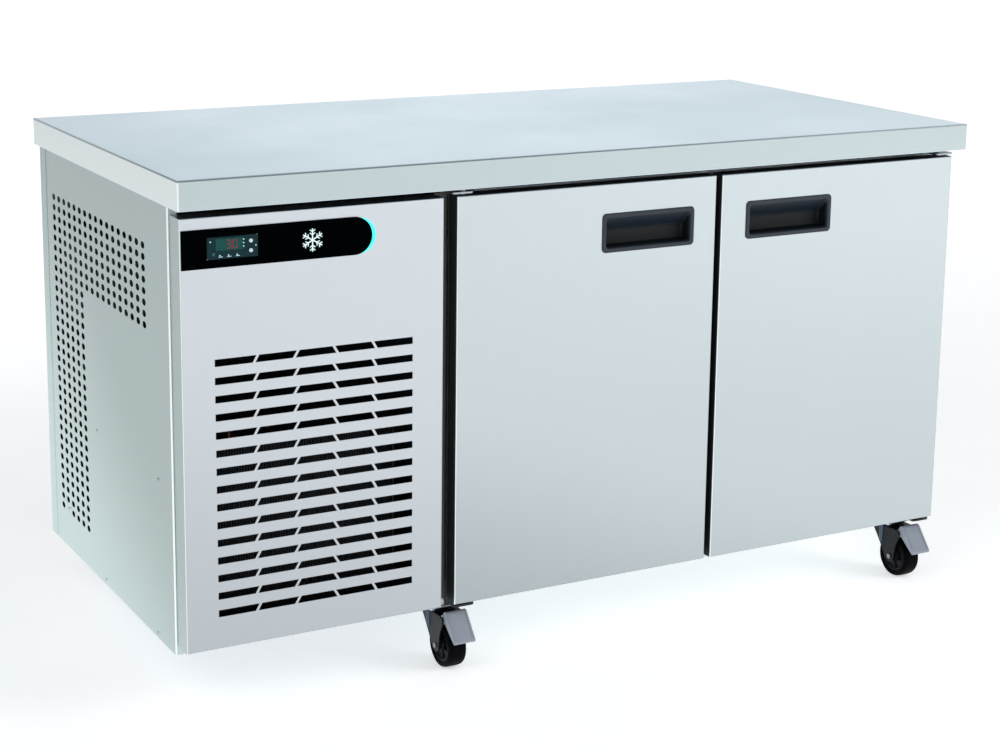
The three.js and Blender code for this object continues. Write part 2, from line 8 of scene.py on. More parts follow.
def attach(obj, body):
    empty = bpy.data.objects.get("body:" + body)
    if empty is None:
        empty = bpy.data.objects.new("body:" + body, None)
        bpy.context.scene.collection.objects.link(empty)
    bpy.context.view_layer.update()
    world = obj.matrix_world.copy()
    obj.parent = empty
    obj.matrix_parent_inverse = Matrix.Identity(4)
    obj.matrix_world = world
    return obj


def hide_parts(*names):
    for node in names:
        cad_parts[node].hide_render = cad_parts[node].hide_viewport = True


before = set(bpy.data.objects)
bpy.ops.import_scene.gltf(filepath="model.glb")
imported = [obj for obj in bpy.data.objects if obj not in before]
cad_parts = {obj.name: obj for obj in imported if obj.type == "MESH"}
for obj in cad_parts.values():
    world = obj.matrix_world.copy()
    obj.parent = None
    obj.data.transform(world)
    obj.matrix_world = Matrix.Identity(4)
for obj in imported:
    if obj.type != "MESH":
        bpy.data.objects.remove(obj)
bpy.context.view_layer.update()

# Lengths below are millimetres in the part's own frame; put() turns them into metres.
# A plane turns (across, up, height) into the frame, and an axis turns (next, next but one, along).
XY = Matrix.Identity(4)
XZ = Matrix(((1, 0, 0, 0), (0, 0, -1, 0), (0, 1, 0, 0), (0, 0, 0, 1)))
YZ = Matrix(((0, 0, 1, 0), (1, 0, 0, 0), (0, 1, 0, 0), (0, 0, 0, 1)))
AXES = {
    "x": YZ,
    "y": Matrix(((0, 1, 0, 0), (0, 0, 1, 0), (1, 0, 0, 0), (0, 0, 0, 1))),
    "z": XY,
}

# A FACE is where the flat of the doors' sheets, the cabinet's flange, the left side or the back lies.
WORKTOP = (-707.5, 707.5, -350, 350)
CASE_LOW, CASE_TOP = 104.4, 775.7
DOOR_LOW, DOOR_TOP = 118.5, 763.7
SHEET_FACE, FLANGE_FACE = -337, -298
SIDE_FACE, REAR_FACE = -705, 321.5
PANEL_LEFT = -701.5
FOLD_RADIUS = 2.2
FOLD_ANGLES = (0.4, 0.8, 1.2, math.pi / 2)
HINGE_Y = -322
HANDLE_Z = (655, 717.5)
HANDLE_WIDTH = 171
STRIP_ROUND = (-433.2, 718.2)
KEYS = (("up", -595, 725.5), ("down", -595, 711.5), ("set", -651.5, 710))
CONDENSER_FAN = (-495, 264)
EVAPORATOR_FAN = (-105, 584)
BOLT_OFFSET = 28
AXLE_HEIGHT, WHEEL_RADIUS, CASTOR_TRAIL = 37.18, 37.17, 28


# ---------------- materials


def srgb(r, g, b):
    def linear(c):
        c /= 255
        return c / 12.92 if c <= 0.04045 else ((c + 0.055) / 1.055) ** 2.4

    return (linear(r), linear(g), linear(b), 1.0)


def shade(color, factor):
    return tuple(min(1.0, c * factor) for c in color[:3]) + (1.0,)


def add_node(tree, kind, inputs, **settings):
    """Adds a shader node and returns its outputs. An input is a value or another node's output."""
    made = tree.nodes.new("ShaderNode" + kind)
    for key, value in settings.items():
        setattr(made, key, value)
    for key, value in inputs.items():
        if isinstance(value, bpy.types.NodeSocket):
            tree.links.new(value, made.inputs[key])
        else:
            made.inputs[key].default_value = value
    return made.outputs


def coordinates(tree, kind="Object"):
    return add_node(tree, "TexCoord", {})[kind]


def noise(tree, place, scale, detail, rough=0.5):
    inputs = {"Vector": place, "Scale": scale, "Detail": detail, "Roughness": rough}
    return add_node(tree, "TexNoise", inputs)["Fac"]


def map_range(tree, value, start, end, low, high, curve="LINEAR"):
    inputs = {"Value": value, "From Min": start, "From Max": end, "To Min": low, "To Max": high}
    return add_node(tree, "MapRange", inputs, interpolation_type=curve)["Result"]


def along(tree, place, way, start, end, low, high):
    """A factor that runs smoothly from low to high as a place or direction moves along a way."""
    distance = add_node(tree, "VectorMath", {0: place, 1: way}, operation="DOT_PRODUCT")["Value"]
    return map_range(tree, distance, start, end, low, high, "SMOOTHSTEP")


def multiply(tree, first, second):
    return add_node(tree, "Math", {0: first, 1: second}, operation="MULTIPLY")["Value"]


def mix(tree, first, second, factor, blend="MIX"):
    inputs = {"Factor": factor, "A": first, "B": second}
    return add_node(tree, "Mix", inputs, data_type="RGBA", blend_type=blend)["Result"]


def color_ramp(tree, value, stops):
    """Colours a value by (position, colour) stops."""
    ramp = tree.nodes.new("ShaderNodeValToRGB")
    elements = ramp.color_ramp.elements
    for place, _ in stops[1:-1]:
        elements.new(place)
    for element, (place, color) in zip(elements, stops):
        element.position = place
        element.color = color
    tree.links.new(value, ramp.inputs["Fac"])
    return ramp.outputs["Color"]


def surface(name, color, rough, metal, grain, spread, tint, bump, cloud=3.0, gloss=0.5):
    """A procedural finish: fine grain and a broad cloud vary its roughness by spread, its colour by tint."""
    color = srgb(*color)
    mat = bpy.data.materials.new(name)
    mat.use_nodes = True
    tree = mat.node_tree
    bsdf = tree.nodes["Principled BSDF"]
    bsdf.inputs["Metallic"].default_value = metal
    bsdf.inputs["Specular IOR Level"].default_value = gloss
    place = coordinates(tree)
    stretched = add_node(tree, "Mapping", {"Vector": place, "Scale": grain})["Vector"]
    fine = noise(tree, stretched, 10.0, 5.0, 0.65)
    half = multiply(tree, noise(tree, place, cloud, 4.0), 0.5)
    mixed = add_node(tree, "Math", {0: fine, 1: 0.5, 2: half}, operation="MULTIPLY_ADD")["Value"]
    tone = color_ramp(tree, mixed, [(0.3, shade(color, 1 - tint)), (0.7, shade(color, 1 + tint))])
    rough_range = (max(0.03, rough - spread), min(1.0, rough + spread))
    relief = add_node(tree, "Bump", {"Strength": bump, "Distance": 0.0004, "Height": fine})["Normal"]
    tree.links.new(tone, bsdf.inputs["Base Color"])
    tree.links.new(map_range(tree, mixed, 0.3, 0.7, *rough_range), bsdf.inputs["Roughness"])
    tree.links.new(relief, bsdf.inputs["Normal"])
    return mat


def scuffed(mat, color, amount=0.25, scale=35.0):
    """Adds sparse worn marks to a finish."""
    tree = mat.node_tree
    base = tree.nodes["Principled BSDF"].inputs["Base Color"]
    spots = noise(tree, coordinates(tree), scale, 8.0, 0.7)
    share = map_range(tree, spots, 0.62, 0.74, 0.0, amount)
    tree.links.new(mix(tree, base.links[0].from_socket, srgb(*color), share), base)
    return mat


def paint_shade(mat, way, start, end, dark):
    """Paints shade into a finish towards one side: its colour is full past end and falls to dark before
    start.
    """
    tree = mat.node_tree
    base = tree.nodes["Principled BSDF"].inputs["Base Color"]
    tone = along(tree, coordinates(tree), way, start, end, dark, 1.0)
    tree.links.new(mix(tree, base.links[0].from_socket, tone, 1.0, "MULTIPLY"), base)


def glowing(name, color, strength, rough=0.3, gloss=0.5):
    mat = surface(name, color, rough, 0.0, (60, 60, 60), 0.06, 0.08, 0.02, gloss=gloss)
    bsdf = mat.node_tree.nodes["Principled BSDF"]
    bsdf.inputs["Emission Color"].default_value = srgb(*color)
    bsdf.inputs["Emission Strength"].default_value = strength
    return mat


def steel(name, color, rough, grain, spread=0.05, tint=0.02, cloud=3.0):
    """Brushed sheet steel, with its grain along one direction."""
    return surface(name, color, rough, 1.0, grain, spread, tint, 0.05, cloud)


def plastic(name, color, rough, grain=120, spread=0.08, tint=0.15, bump=0.15, cloud=3.0, gloss=0.5):
    return surface(name, color, rough, 0.0, (grain,) * 3, spread, tint, bump, cloud, gloss)


def plated(name, color, rough, grain, spread, tint, bump, cloud=3.0, metal=1.0, gloss=0.5):
    return surface(name, color, rough, metal, (grain,) * 3, spread, tint, bump, cloud, gloss)


ACROSS = (3, 400, 400)
UPRIGHT = (400, 400, 3)
FINNED = (30, 30, 200)

TOP_STEEL = steel("satin steel worktop", (218, 237, 247), 0.3, ACROSS)
# The skirt's steel is a darker copy of the top's, painted shade; the skirt end's is a lighter copy, painted
# light.
SHADED_SKIRT_STEEL = steel("satin steel skirt shaded copy", (186, 197, 199), 0.31, ACROSS)
LIT_END_STEEL = steel("skirt end steel painted light", (236, 244, 244), 0.34, ACROSS)
# Bright steel for the rounds of upright folds: a painted highlight.
FOLD_HIGHLIGHT_STEEL = steel("fold steel painted highlight", (252, 254, 254), 0.3, UPRIGHT, tint=0.01)
DOOR_STEEL = steel("satin steel doors", (197, 206, 209), 0.31, UPRIGHT, cloud=2.0)
PANEL_STEEL = steel("satin steel panel", (203, 209, 214), 0.34, UPRIGHT, cloud=2.0)
SIDE_STEEL = steel("satin steel side", (219, 235, 234), 0.38, UPRIGHT, 0.06, 0.03, 2.0)
CASE_STEEL = steel("satin steel case", (196, 205, 207), 0.4, UPRIGHT, 0.06, 0.03, 2.0)
LINER_STEEL = steel("bright liner steel", (206, 212, 215), 0.32, ACROSS, 0.06, 0.03)
# Painted shade: the doors and the slotted panel darken towards the bottom and the left, the side panel
# towards the top and the front.
paint_shade(DOOR_STEEL, (0.35, 0, 1), 0.0, 0.36, 0.77)
paint_shade(PANEL_STEEL, (0.35, 0, 1), -0.15, 0.4, 0.83)
paint_shade(SIDE_STEEL, (0, 0.75, -1), -0.56, 0.05, 0.67)

WIRE_STEEL = plated("shelf wire", (200, 205, 208), 0.3, 90, 0.08, 0.05, 0.08)
ZINC = scuffed(plated("zinc plate", (176, 184, 190), 0.42, 70, 0.1, 0.08, 0.12, 14), (110, 112, 112))
BOLT = plated("bright zinc bolt", (214, 217, 220), 0.28, 120, 0.08, 0.06, 0.08, 30)
AXLE_STEEL = plated("dull axle steel", (150, 156, 160), 0.4, 120, 0.08, 0.1, 0.12, 30)
COPPER = scuffed(plated("drawn copper", (200, 130, 92), 0.32, 60, 0.1, 0.1, 0.1, 12), (96, 62, 44), 0.5)
FORK_STEEL = plated("dark fork steel", (10, 14, 20), 0.36, 80, 0.1, 0.12, 0.12, 16, 0.25, 0.3)
scuffed(FORK_STEEL, (70, 78, 88))
FORK_HIGHLIGHT_STEEL = plated("fork rib steel painted highlight", (76, 88, 106), 0.3, 80, 0.1, 0.1, 0.12, 16, 0.9)
FIN = surface("aluminium fin", (196, 202, 206), 0.45, 1.0, FINNED, 0.1, 0.06, 0.1)
DARK_FIN = surface("blackened fin", (96, 102, 106), 0.5, 0.8, FINNED, 0.1, 0.1, 0.1)

BLACK_COAT = scuffed(plastic("black coating", (24, 25, 28), 0.42, 90, 0.08, 0.15, 0.25, 10), (84, 86, 90))
BLACK_PLASTIC = plastic("black plastic", (15, 16, 18), 0.4)
GREY_PLASTIC = plastic("grey pedal plastic", (146, 153, 165), 0.42, 120, 0.08, 0.05, 0.2, 14)
scuffed(GREY_PLASTIC, (102, 106, 116), 0.3)
BOX_PLASTIC = plastic("grey box plastic", (88, 92, 98), 0.55, 120, 0.08, 0.05, 0.2)
WHITE_PLASTIC = plastic("white moulded plastic", (222, 225, 226), 0.42, 140, 0.06, 0.03, 0.15)
GRIP_PLASTIC = plastic("slate grip plastic", (24, 34, 45), 0.42, 160, 0.06, 0.08, 0.18, 12)
RECESS_SHADE = plastic("grip cup plastic painted shade", (12, 17, 20), 0.5, 160, 0.06, 0.1, 0.2, 12, 0.25)
STRIP_BLACK = plastic("black control strip", (2, 3, 4), 0.7, 40, 0.05, 0.3, 0.05, gloss=0.0)
SEAL = plastic("gasket rubber", (34, 36, 38), 0.62, 100, 0.08, 0.08, 0.25, 12)
TYRE = plastic("tyre rubber", (3, 3, 5), 0.55, 140, 0.1, 0.2, 0.3, 18, 0.04)
scuffed(TYRE, (22, 22, 26), 0.2, 60)
HUB = plastic("wheel hub plastic", (7, 9, 12), 0.42, 120, 0.08, 0.15, 0.2, gloss=0.15)
TRIM = plastic("grey channel trim", (88, 88, 84), 0.5, tint=0.12, gloss=0.4)
RAIL = plastic("dark rail plastic", (14, 18, 21), 0.6, gloss=0.12)
# Near-black for strips on the door edges: painted shade in the gaps round the doors.
EDGE = plastic("dark edge strip painted shade", (30, 31, 32), 0.5, gloss=0.3)
KEY = plastic("key caps", (196, 214, 218), 0.4, 160, 0.06, 0.05)
KEY_DARK = plastic("dark key cap", (30, 84, 92), 0.4, 160, 0.06, 0.1, gloss=0.2)

FOAM = plastic("rigid foam", (226, 208, 150), 0.9, 200, 0.06, 0.12, 0.8, 25)
MAT = plastic("sound absorbing mat", (38, 43, 46), 0.9, 90, 0.05, 0.25, 0.8, 20, 0.15)
SHADE_BOARD = surface("filling board dark as painted shade", (30, 33, 35), 0.8, 0.0, (40, 160, 160), 0.08, 0.2, 0.4, 8.0, 0.2)

DISPLAY = plastic("dark teal display", (10, 42, 48), 0.4, 60, 0.04, 0.25, 0.03, 40.0, 0.12)
LCD = glowing("display window", (14, 66, 62), 0.2, gloss=0.12)
DIGIT = glowing("red digits", (126, 40, 56), 0.25, gloss=0.1)
ICON = glowing("pale marks", (180, 214, 220), 0.5)
ACCENT = glowing("turquoise light", (60, 226, 218), 0.75)
# The printed flake glows though it is no lamp: painted light.
GLOWING_PRINT = glowing("printed mark painted glow", (206, 226, 228), 0.25)


# ---------------- shaping


def add_object(name, data):
    obj = bpy.data.objects.new(name, data)
    bpy.context.scene.collection.objects.link(obj)
    return obj


def put(name, bm, finish, node=None, angle=35, others=(), body="cabinet"):
    """Makes a piece from a mesh in millimetres. Its faces may point at other finishes by their index."""
    bmesh.ops.remove_doubles(bm, verts=bm.verts, dist=0.002)
    bmesh.ops.recalc_face_normals(bm, faces=bm.faces)
    bmesh.ops.scale(bm, vec=(0.001, 0.001, 0.001), verts=bm.verts)
    mesh = bpy.data.meshes.new(name)
    bm.to_mesh(mesh)
    bm.free()
    for material in (finish, *others):
        mesh.materials.append(material)
    mesh.shade_smooth()
    mesh.set_sharp_from_angle(angle=math.radians(angle))
    obj = add_object(name, mesh)
    weigh = obj.modifiers.new("flat faces stay flat", "WEIGHTED_NORMAL")
    weigh.keep_sharp = True
    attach(obj, body)
    if node:
        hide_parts(node)


def soften(bm, verts, radius, segments=2):
    """Rounds every edge sharper than 30 degrees."""
    edges = {e for v in verts for e in v.link_edges}
    sharp = [e for e in edges if len(e.link_faces) == 2 and e.calc_face_angle(0) > math.radians(30)]
    rounding = {"offset": radius, "segments": segments, "profile": 0.5, "clamp_overlap": True}
    bmesh.ops.bevel(bm, geom=sharp, affect="EDGES", **rounding)


def block(bm, lo, hi, radius=0.6, segments=2):
    verts = bmesh.ops.create_cube(bm, size=1)["verts"]
    for v in verts:
        v.co = Vector(lo[i] + (v.co[i] + 0.5) * (hi[i] - lo[i]) for i in range(3))
    if radius:
        soften(bm, verts, radius, segments)


def prism(bm, points, axis, start, end, radius=0.5, segments=2):
    """A polygon carried along an axis. Its points are the other two coordinates, in the axis's order."""
    turn = AXES[axis]
    low = [bm.verts.new(turn @ Vector((a, b, start))) for a, b in points]
    high = [bm.verts.new(turn @ Vector((a, b, end))) for a, b in points]
    bm.faces.new(low[::-1])
    bm.faces.new(high)
    for i in range(len(points)):
        j = (i + 1) % len(points)
        bm.faces.new((low[i], low[j], high[j], high[i]))
    if radius:
        soften(bm, low + high, radius, segments)


def turned(bm, profile, axis, centre, sides=32, ring=False, squash=1.0):
    """Turns (radius, height) pairs about an axis through a centre. A ring's profile closes on itself."""
    turn = AXES[axis]
    centre = Vector(centre)
    rows = []
    for radius, height in profile:
        count = 1 if radius < 1e-6 else sides
        row = []
        for k in range(count):
            t = 2 * math.pi * (k + 0.5) / sides
            spoke = Vector((radius * math.cos(t), radius * squash * math.sin(t), height))
            row.append(bm.verts.new(centre + turn @ spoke))
        rows.append(row)
    pairs = list(zip(rows, rows[1:]))
    if ring:
        pairs.append((rows[-1], rows[0]))
    for a, b in pairs:
        for k in range(sides):
            j = (k + 1) % sides
            corner = [a[k % len(a)], a[j % len(a)], b[j % len(b)], b[k % len(b)]]
            face = list(dict.fromkeys(corner))
            if len(face) > 2:
                bm.faces.new(face)


def rod(bm, axis, centre, radius, start, end, sides):
    turned(bm, [(0, start), (radius, start), (radius, end), (0, end)], axis, centre, sides)


def screw(bm, axis, centre, radius, height, way):
    """A domed head with a shallow dish in its middle."""
    low, h = -0.2 * way, height * way
    head = [(0, low), (radius, low), (radius, 0.25 * h), (radius * 0.86, 0.62 * h), (radius * 0.5, 0.94 * h)]
    head += [(radius * 0.3, h), (radius * 0.22, 0.6 * h), (0, 0.55 * h)]
    turned(bm, head, axis, centre, 18)


def hexagon(bm, axis, centre, radius, start, end):
    points = [(radius * math.cos(math.pi * k / 3), radius * math.sin(math.pi * k / 3)) for k in range(6)]
    before = len(bm.verts)
    prism(bm, points, axis, start, end, 0.5)
    turn_bm(bm, before, Matrix.Translation(centre))


def turn_bm(bm, first, matrix):
    """Moves every vertex from the first one on."""
    bm.verts.ensure_lookup_table()
    bmesh.ops.transform(bm, matrix=matrix, verts=bm.verts[first:])


def from_curve(bm, curve, turn):
    holder = add_object("temporary", curve)
    graph = bpy.context.evaluated_depsgraph_get()
    mesh = bpy.data.meshes.new_from_object(holder.evaluated_get(graph))
    mesh.transform(turn)
    bm.from_mesh(mesh)
    bpy.data.objects.remove(holder)
    bpy.data.curves.remove(curve)
    bpy.data.meshes.remove(mesh)


def add_spline(curve, points, closed):
    spline = curve.splines.new("POLY")
    spline.points.add(len(points) - 1)
    for point, place in zip(spline.points, points):
        point.co = (*place, 1)
    spline.use_cyclic_u = closed


def sheet(bm, loops, turn, middle, thickness, edge=0.3):
    """A flat sheet with an outline and holes and round edges, at a height along the plane's third axis."""
    curve = bpy.data.curves.new("sheet", "CURVE")
    curve.dimensions = "2D"
    curve.fill_mode = "BOTH"
    curve.bevel_depth = edge
    curve.bevel_resolution = 1
    curve.extrude = thickness / 2 - edge
    curve.offset = -edge
    for loop in loops:
        add_spline(curve, [(a, b, 0) for a, b in loop], True)
    from_curve(bm, curve, turn @ Matrix.Translation((0, 0, middle)))


def smooth_path(points, steps):
    """A Catmull-Rom path through the points."""
    p = [Vector(q) for q in points]
    p = [2 * p[0] - p[1]] + p + [2 * p[-1] - p[-2]]
    path = []
    for a, b, c, d in zip(p, p[1:], p[2:], p[3:]):
        bend, twist = 2 * a - 5 * b + 4 * c - d, 3 * b - a - 3 * c + d
        for k in range(steps):
            t = k / steps
            path.append(0.5 * (2 * b + (c - a) * t + bend * t * t + twist * t**3))
    return path + [p[-2]]


def tube(bm, points, radius, steps=0, closed=False, sides=3):
    """A round bar along the points, which become a smooth path if steps are given."""
    path = smooth_path(points, steps) if steps else points
    curve = bpy.data.curves.new("tube", "CURVE")
    curve.dimensions = "3D"
    curve.bevel_depth = radius
    curve.bevel_resolution = sides
    curve.use_fill_caps = not closed
    add_spline(curve, path, closed)
    from_curve(bm, curve, XY)


def circle(count, start=0.0):
    """The angles of evenly spaced places round a circle."""
    return [start + 2 * math.pi * k / count for k in range(count)]


def arc(cx, cz, radius, angles):
    return [(cx + radius * math.cos(t), cz + radius * math.sin(t)) for t in angles]


def rounded(x0, x1, z0, z1, radius, steps=5):
    """A rectangle with round corners, as a loop of points."""
    right, left, low, high = x1 - radius, x0 + radius, z0 + radius, z1 - radius
    loop = []
    for cx, cz, start in ((right, low, -90), (right, high, 0), (left, high, 90), (left, low, 180)):
        loop += arc(cx, cz, radius, [math.radians(start + 90 * k / steps) for k in range(steps + 1)])
    return loop


def disc(x, z, rx, rz=None, count=20):
    return [(x + rx * math.cos(t), z + (rz or rx) * math.sin(t)) for t in circle(count)]


def box(x0, x1, z0, z1, inset=0):
    """The four corners of a rectangle."""
    a, b, c, d = x0 + inset, x1 - inset, z0 + inset, z1 - inset
    return [(a, c), (b, c), (b, d), (a, d)]


def loft(bm, steps, round_steps=5):
    """Joins upright round-cornered rectangles, each (y, x0, x1, z0, z1, radius), and closes both ends."""
    rows = []
    for y, *rect in steps:
        rows.append([bm.verts.new((a, y, b)) for a, b in rounded(*rect, round_steps)])
    for a, b in zip(rows, rows[1:]):
        for k in range(len(a)):
            j = (k + 1) % len(a)
            bm.faces.new((a[k], a[j], b[j], b[k]))
    bm.faces.new(rows[0][::-1])
    bm.faces.new(rows[-1])


def surround(bm, rect, profile, plane="xz", cap=()):
    """Sweeps (distance inwards, height) pairs round a rectangle with mitred corners."""
    a0, a1, b0, b1 = rect
    rows = []
    for sa, sb in ((1, 1), (-1, 1), (-1, -1), (1, -1)):
        row = []
        for inset, height in profile:
            a = (a0 if sa > 0 else a1) + sa * inset
            b = (b0 if sb > 0 else b1) + sb * inset
            row.append(bm.verts.new((a, height, b) if plane == "xz" else (a, b, height)))
        rows.append(row)
    count = len(profile)
    for k in range(4):
        here, there = rows[k], rows[(k + 1) % 4]
        for i in range(count):
            j = (i + 1) % count
            if {i, j} != set(cap):
                bm.faces.new((here[i], here[j], there[j], there[i]))
    for i in cap:
        bm.faces.new([row[i] for row in rows])
    return rows


def mark(bm, index, wanted):
    """Points the faces that a test picks at another finish of their piece."""
    bm.normal_update()
    for face in bm.faces:
        if wanted(face, face.calc_center_median()):
            face.material_index = index


def folds(face):
    """Whether a face belongs to the round of an upright corner."""
    return abs(face.normal.x) > 0.2 and abs(face.normal.y) > 0.2


def dress(node, material, edge):
    """A CAD node that stays gets a finish, and its edges are rounded by a width in metres."""
    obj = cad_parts[node]
    obj.data.materials.clear()
    obj.data.materials.append(material)
    if edge:
        merge = obj.modifiers.new("merge", "DECIMATE")
        merge.decimate_type = "DISSOLVE"
        merge.angle_limit = math.radians(2)
        bevel = obj.modifiers.new("edge", "BEVEL")
        bevel.width = edge
        bevel.segments = 2
        bevel.limit_method = "ANGLE"
        bevel.angle_limit = math.radians(40)


# ---------------- worktop


def worktop():
    bm = bmesh.new()
    profile = [(0.6, 776), (0, 776.6), (0, 816.8), (0.35, 818.3), (1.2, 819.5), (3, 820), (40, 820)]
    profile += [(40, 818.6), (1.8, 818.6), (1.4, 818.2), (1.4, 777.6), (11, 777.6), (11, 776)]
    rows = surround(bm, WORKTOP, profile, "xy", cap=(6, 7))
    corners = [e for row in rows for e in row[1].link_edges if e.other_vert(row[1]) is row[2]]
    bmesh.ops.bevel(bm, geom=corners, offset=2.6, segments=4, profile=0.5, affect="EDGES")

    def upright(face):
        return abs(face.normal.z) < 0.3

    # The skirt takes the darker copy of the top's steel, painted shade; its left end a lighter copy, painted
    # light; the rounds of its upright corners the bright fold steel, a painted highlight.
    mark(bm, 1, lambda face, middle: upright(face))
    mark(bm, 2, lambda face, middle: upright(face) and middle.x < SIDE_FACE)
    mark(bm, 3, lambda face, middle: upright(face) and folds(face))
    put("worktop", bm, TOP_STEEL, "worktop_skin", 30, (SHADED_SKIRT_STEEL, LIT_END_STEEL, FOLD_HIGHLIGHT_STEEL))
    # The core under the worktop is near-black to stand in for the shade in the gap beneath it: painted shade.
    dress("worktop_core", SHADE_BOARD, 0)


# ---------------- doors


def folded_front(bm, x0, x1, back, holes):
    """A front sheet of door height whose four edges are folded back round a small radius."""
    r, thick = FOLD_RADIUS, 1.2
    sheet(bm, [box(x0, x1, DOOR_LOW, DOOR_TOP, r), *holes], XZ, -SHEET_FACE - thick / 2, thick, 0.12)
    fold = [(r - r * math.sin(t), SHEET_FACE + r - r * math.cos(t)) for t in (0, *FOLD_ANGLES)]
    inner = [(thick, back), (thick, -335.2), (1.5, -335.8), (r, -335.8)]
    surround(bm, (x0, x1, DOOR_LOW, DOOR_TOP), [*fold, (0, back), *inner])


def highlight_left_fold(bm, x0, index):
    mark(bm, index, lambda face, middle: folds(face) and middle.x < x0 + FOLD_RADIUS)


def door(side, x0, x1, handle_x):
    body = "door_" + side
    bm = bmesh.new()
    hole = rounded(handle_x + 5, handle_x + HANDLE_WIDTH - 5, HANDLE_Z[0] + 5, HANDLE_Z[1] - 5, 4)
    folded_front(bm, x0, x1, -309.7, [hole])
    # The round of the door's left fold takes the bright fold steel: a painted highlight.
    highlight_left_fold(bm, x0, 1)
    put("front_sheet_" + side, bm, DOOR_STEEL, "door_skin_" + side, 35, [FOLD_HIGHLIGHT_STEEL], body)
    # Dark strips over the door's side and top edges stand in for the shade in the gaps round the door:
    # painted shade.
    bm = bmesh.new()
    for edge, way in ((x0, -1), (x1, 1)):
        a, b = sorted((edge + 0.05 * way, edge + 0.5 * way))
        block(bm, (a, -334, DOOR_LOW + 0.5), (b, -309.9, DOOR_TOP - 0.5), 0.15, 1)
    block(bm, (x0 + 1, -334.5, DOOR_TOP + 0.05), (x1 - 1, -309.9, DOOR_TOP + 0.5), 0.15, 1)
    put("shade_edge_strips_" + side, bm, EDGE, body=body)
    dress("door_core_" + side, FOAM, 0)
    inner_panel(side, x0, x1, body)
    gasket(side, x0, x1, body)
    grip(side, handle_x, body)


def inner_panel(side, x0, x1, body):
    bm = bmesh.new()
    steps = [(-309.3, 0.2, 1), (-309, 0, 1), (-307.4, 0, 1), (-307, 0.4, 1), (-307, 34, 8)]
    steps += [(-307.3, 37, 8), (-308.2, 39, 8), (-308.6, 41, 8)]
    loft(bm, [(y, x0 + d, x1 - d, DOOR_LOW + d, DOOR_TOP - d, radius) for y, d, radius in steps])
    put("inner_panel_" + side, bm, LINER_STEEL, "door_liner_" + side, body=body)


def gasket(side, x0, x1, body):
    bm = bmesh.new()
    half = [(5, -306.7), (5, -305.2), (3.2, -304.3), (3.4, -303.2), (5.4, -302.2), (5.9, -301)]
    half += [(5.9, -299.3), (5.3, -298.6)]
    profile = [(6 + a, y) for a, y in half] + [(6 - a, y) for a, y in half[::-1]]
    surround(bm, (x0 + 16, x1 - 16, DOOR_LOW + 16, DOOR_TOP - 16), profile)
    put("seal_" + side, bm, SEAL, "door_gasket_" + side, 50, body=body)


def grip(side, x, body):
    bm = bmesh.new()
    z0, z1 = HANDLE_Z
    steps = [(-316.2, 14, 33, 2), (-316.6, 10, 30, 3), (-318.5, 8.4, 27, 4), (-326, 8.2, 20, 4)]
    steps += [(-333, 8.1, 13, 4), (-337, 7.6, 8.4, 4.5), (-338.6, 6.6, 6.8, 5), (-339, 5.4, 5.6, 5.5)]
    steps += [(-338.9, 1.6, 1.6, 6.2), (-338.5, 0.5, 0.5, 6.6), (-337.9, 0, 0, 7), (-337.4, 0, 0, 7)]
    steps += [(-337.4, 5.4, 5.4, 4), (-314, 5.4, 5.4, 4)]
    loft(bm, [(y, x + d, x + HANDLE_WIDTH - d, z0 + d, z1 - high, radius) for y, d, high, radius in steps])

    def shaded_recess(face, middle):
        within = x + 7 < middle.x < x + HANDLE_WIDTH - 7 and middle.z > z0 + 7
        slanted = middle.z > z1 - 34 and abs(face.normal.z) > 0.5
        return within and -335 < middle.y < -315.5 and not slanted

    # The back and floor of the grip's cup take near-black plastic: painted shade in the recess.
    mark(bm, 1, shaded_recess)
    put("grip_" + side, bm, GRIP_PLASTIC, "door_handle_" + side, 40, [RECESS_SHADE], body=body)


def hinge(bm, x, near, far, corner, plate_z, low, high, pin):
    """A plate with a flange against the cabinet, and a pin."""
    a, b = sorted((x + near, x + far))
    sheet(bm, [rounded(a, b, -333, -298.5, corner, 4)], XY, plate_z, 3, 0.5)
    block(bm, (a, -301.2, low), (b, -298.4, high))
    turned(bm, pin, "z", (x, HINGE_Y, 0), 24)


def hinges(side, x, way):
    """The plate hinges of one door; way points from the hinge towards the door's middle."""
    bm = bmesh.new()
    pin = [(0, 742), (3.4, 742), (4, 743), (4, 769.4), (5.6, 769.4), (5.6, 771), (4.6, 771.8), (0, 771.8)]
    hinge(bm, x, -22 * way, 14 * way, 5, 767.9, 766.6, 775.2, pin)
    for dx in (-14, 0):
        screw(bm, "y", (x + dx * way, -301.2, 772), 2.6, 1.4, -1)
    put("top_hinge_" + side, bm, ZINC, "hinge_top_" + side)
    bm = bmesh.new()
    pin = [(0, 136), (3.4, 136), (4, 135), (4, 117.6), (7, 117.4), (7, 112.2), (5, 112.2), (5, 111.9)]
    hinge(bm, x, -14 * way, 22 * way, 6, 113.5, 104.8, 114.8, [*pin, (0, 111.9)])
    put("bottom_hinge_" + side, bm, BLACK_COAT, "hinge_bottom_" + side)


# ---------------- insulated cabinet


def liner():
    bm = bmesh.new()
    room = (-222, 642.5, 152, 728)
    outer = (-272, 692.5, CASE_LOW, CASE_TOP)
    steps = [(room, 271.5, 16, 2), (room, 270.4, 10, 6), (room, 266.5, 3.8, 10), (room, 260, 0, 14)]
    steps += [(room, -294, 0, 14), (room, -297, -1, 15), (room, -298, -3, 16), (outer, -298, 1, 1)]
    steps += [(outer, -297.6, 0.2, 1.2), (outer, -296.9, 0.2, 1.2), (room, -296.9, -3, 16)]
    steps += [(room, -296, -1.2, 15), (room, 260, -1.2, 15), (room, 272.6, 3, 8)]
    loft(bm, [(y, x0 + d, x1 - d, z0 + d, z1 - d, radius) for (x0, x1, z0, z1), y, d, radius in steps], 6)
    put("liner", bm, LINER_STEEL, "inner_liner", 40)


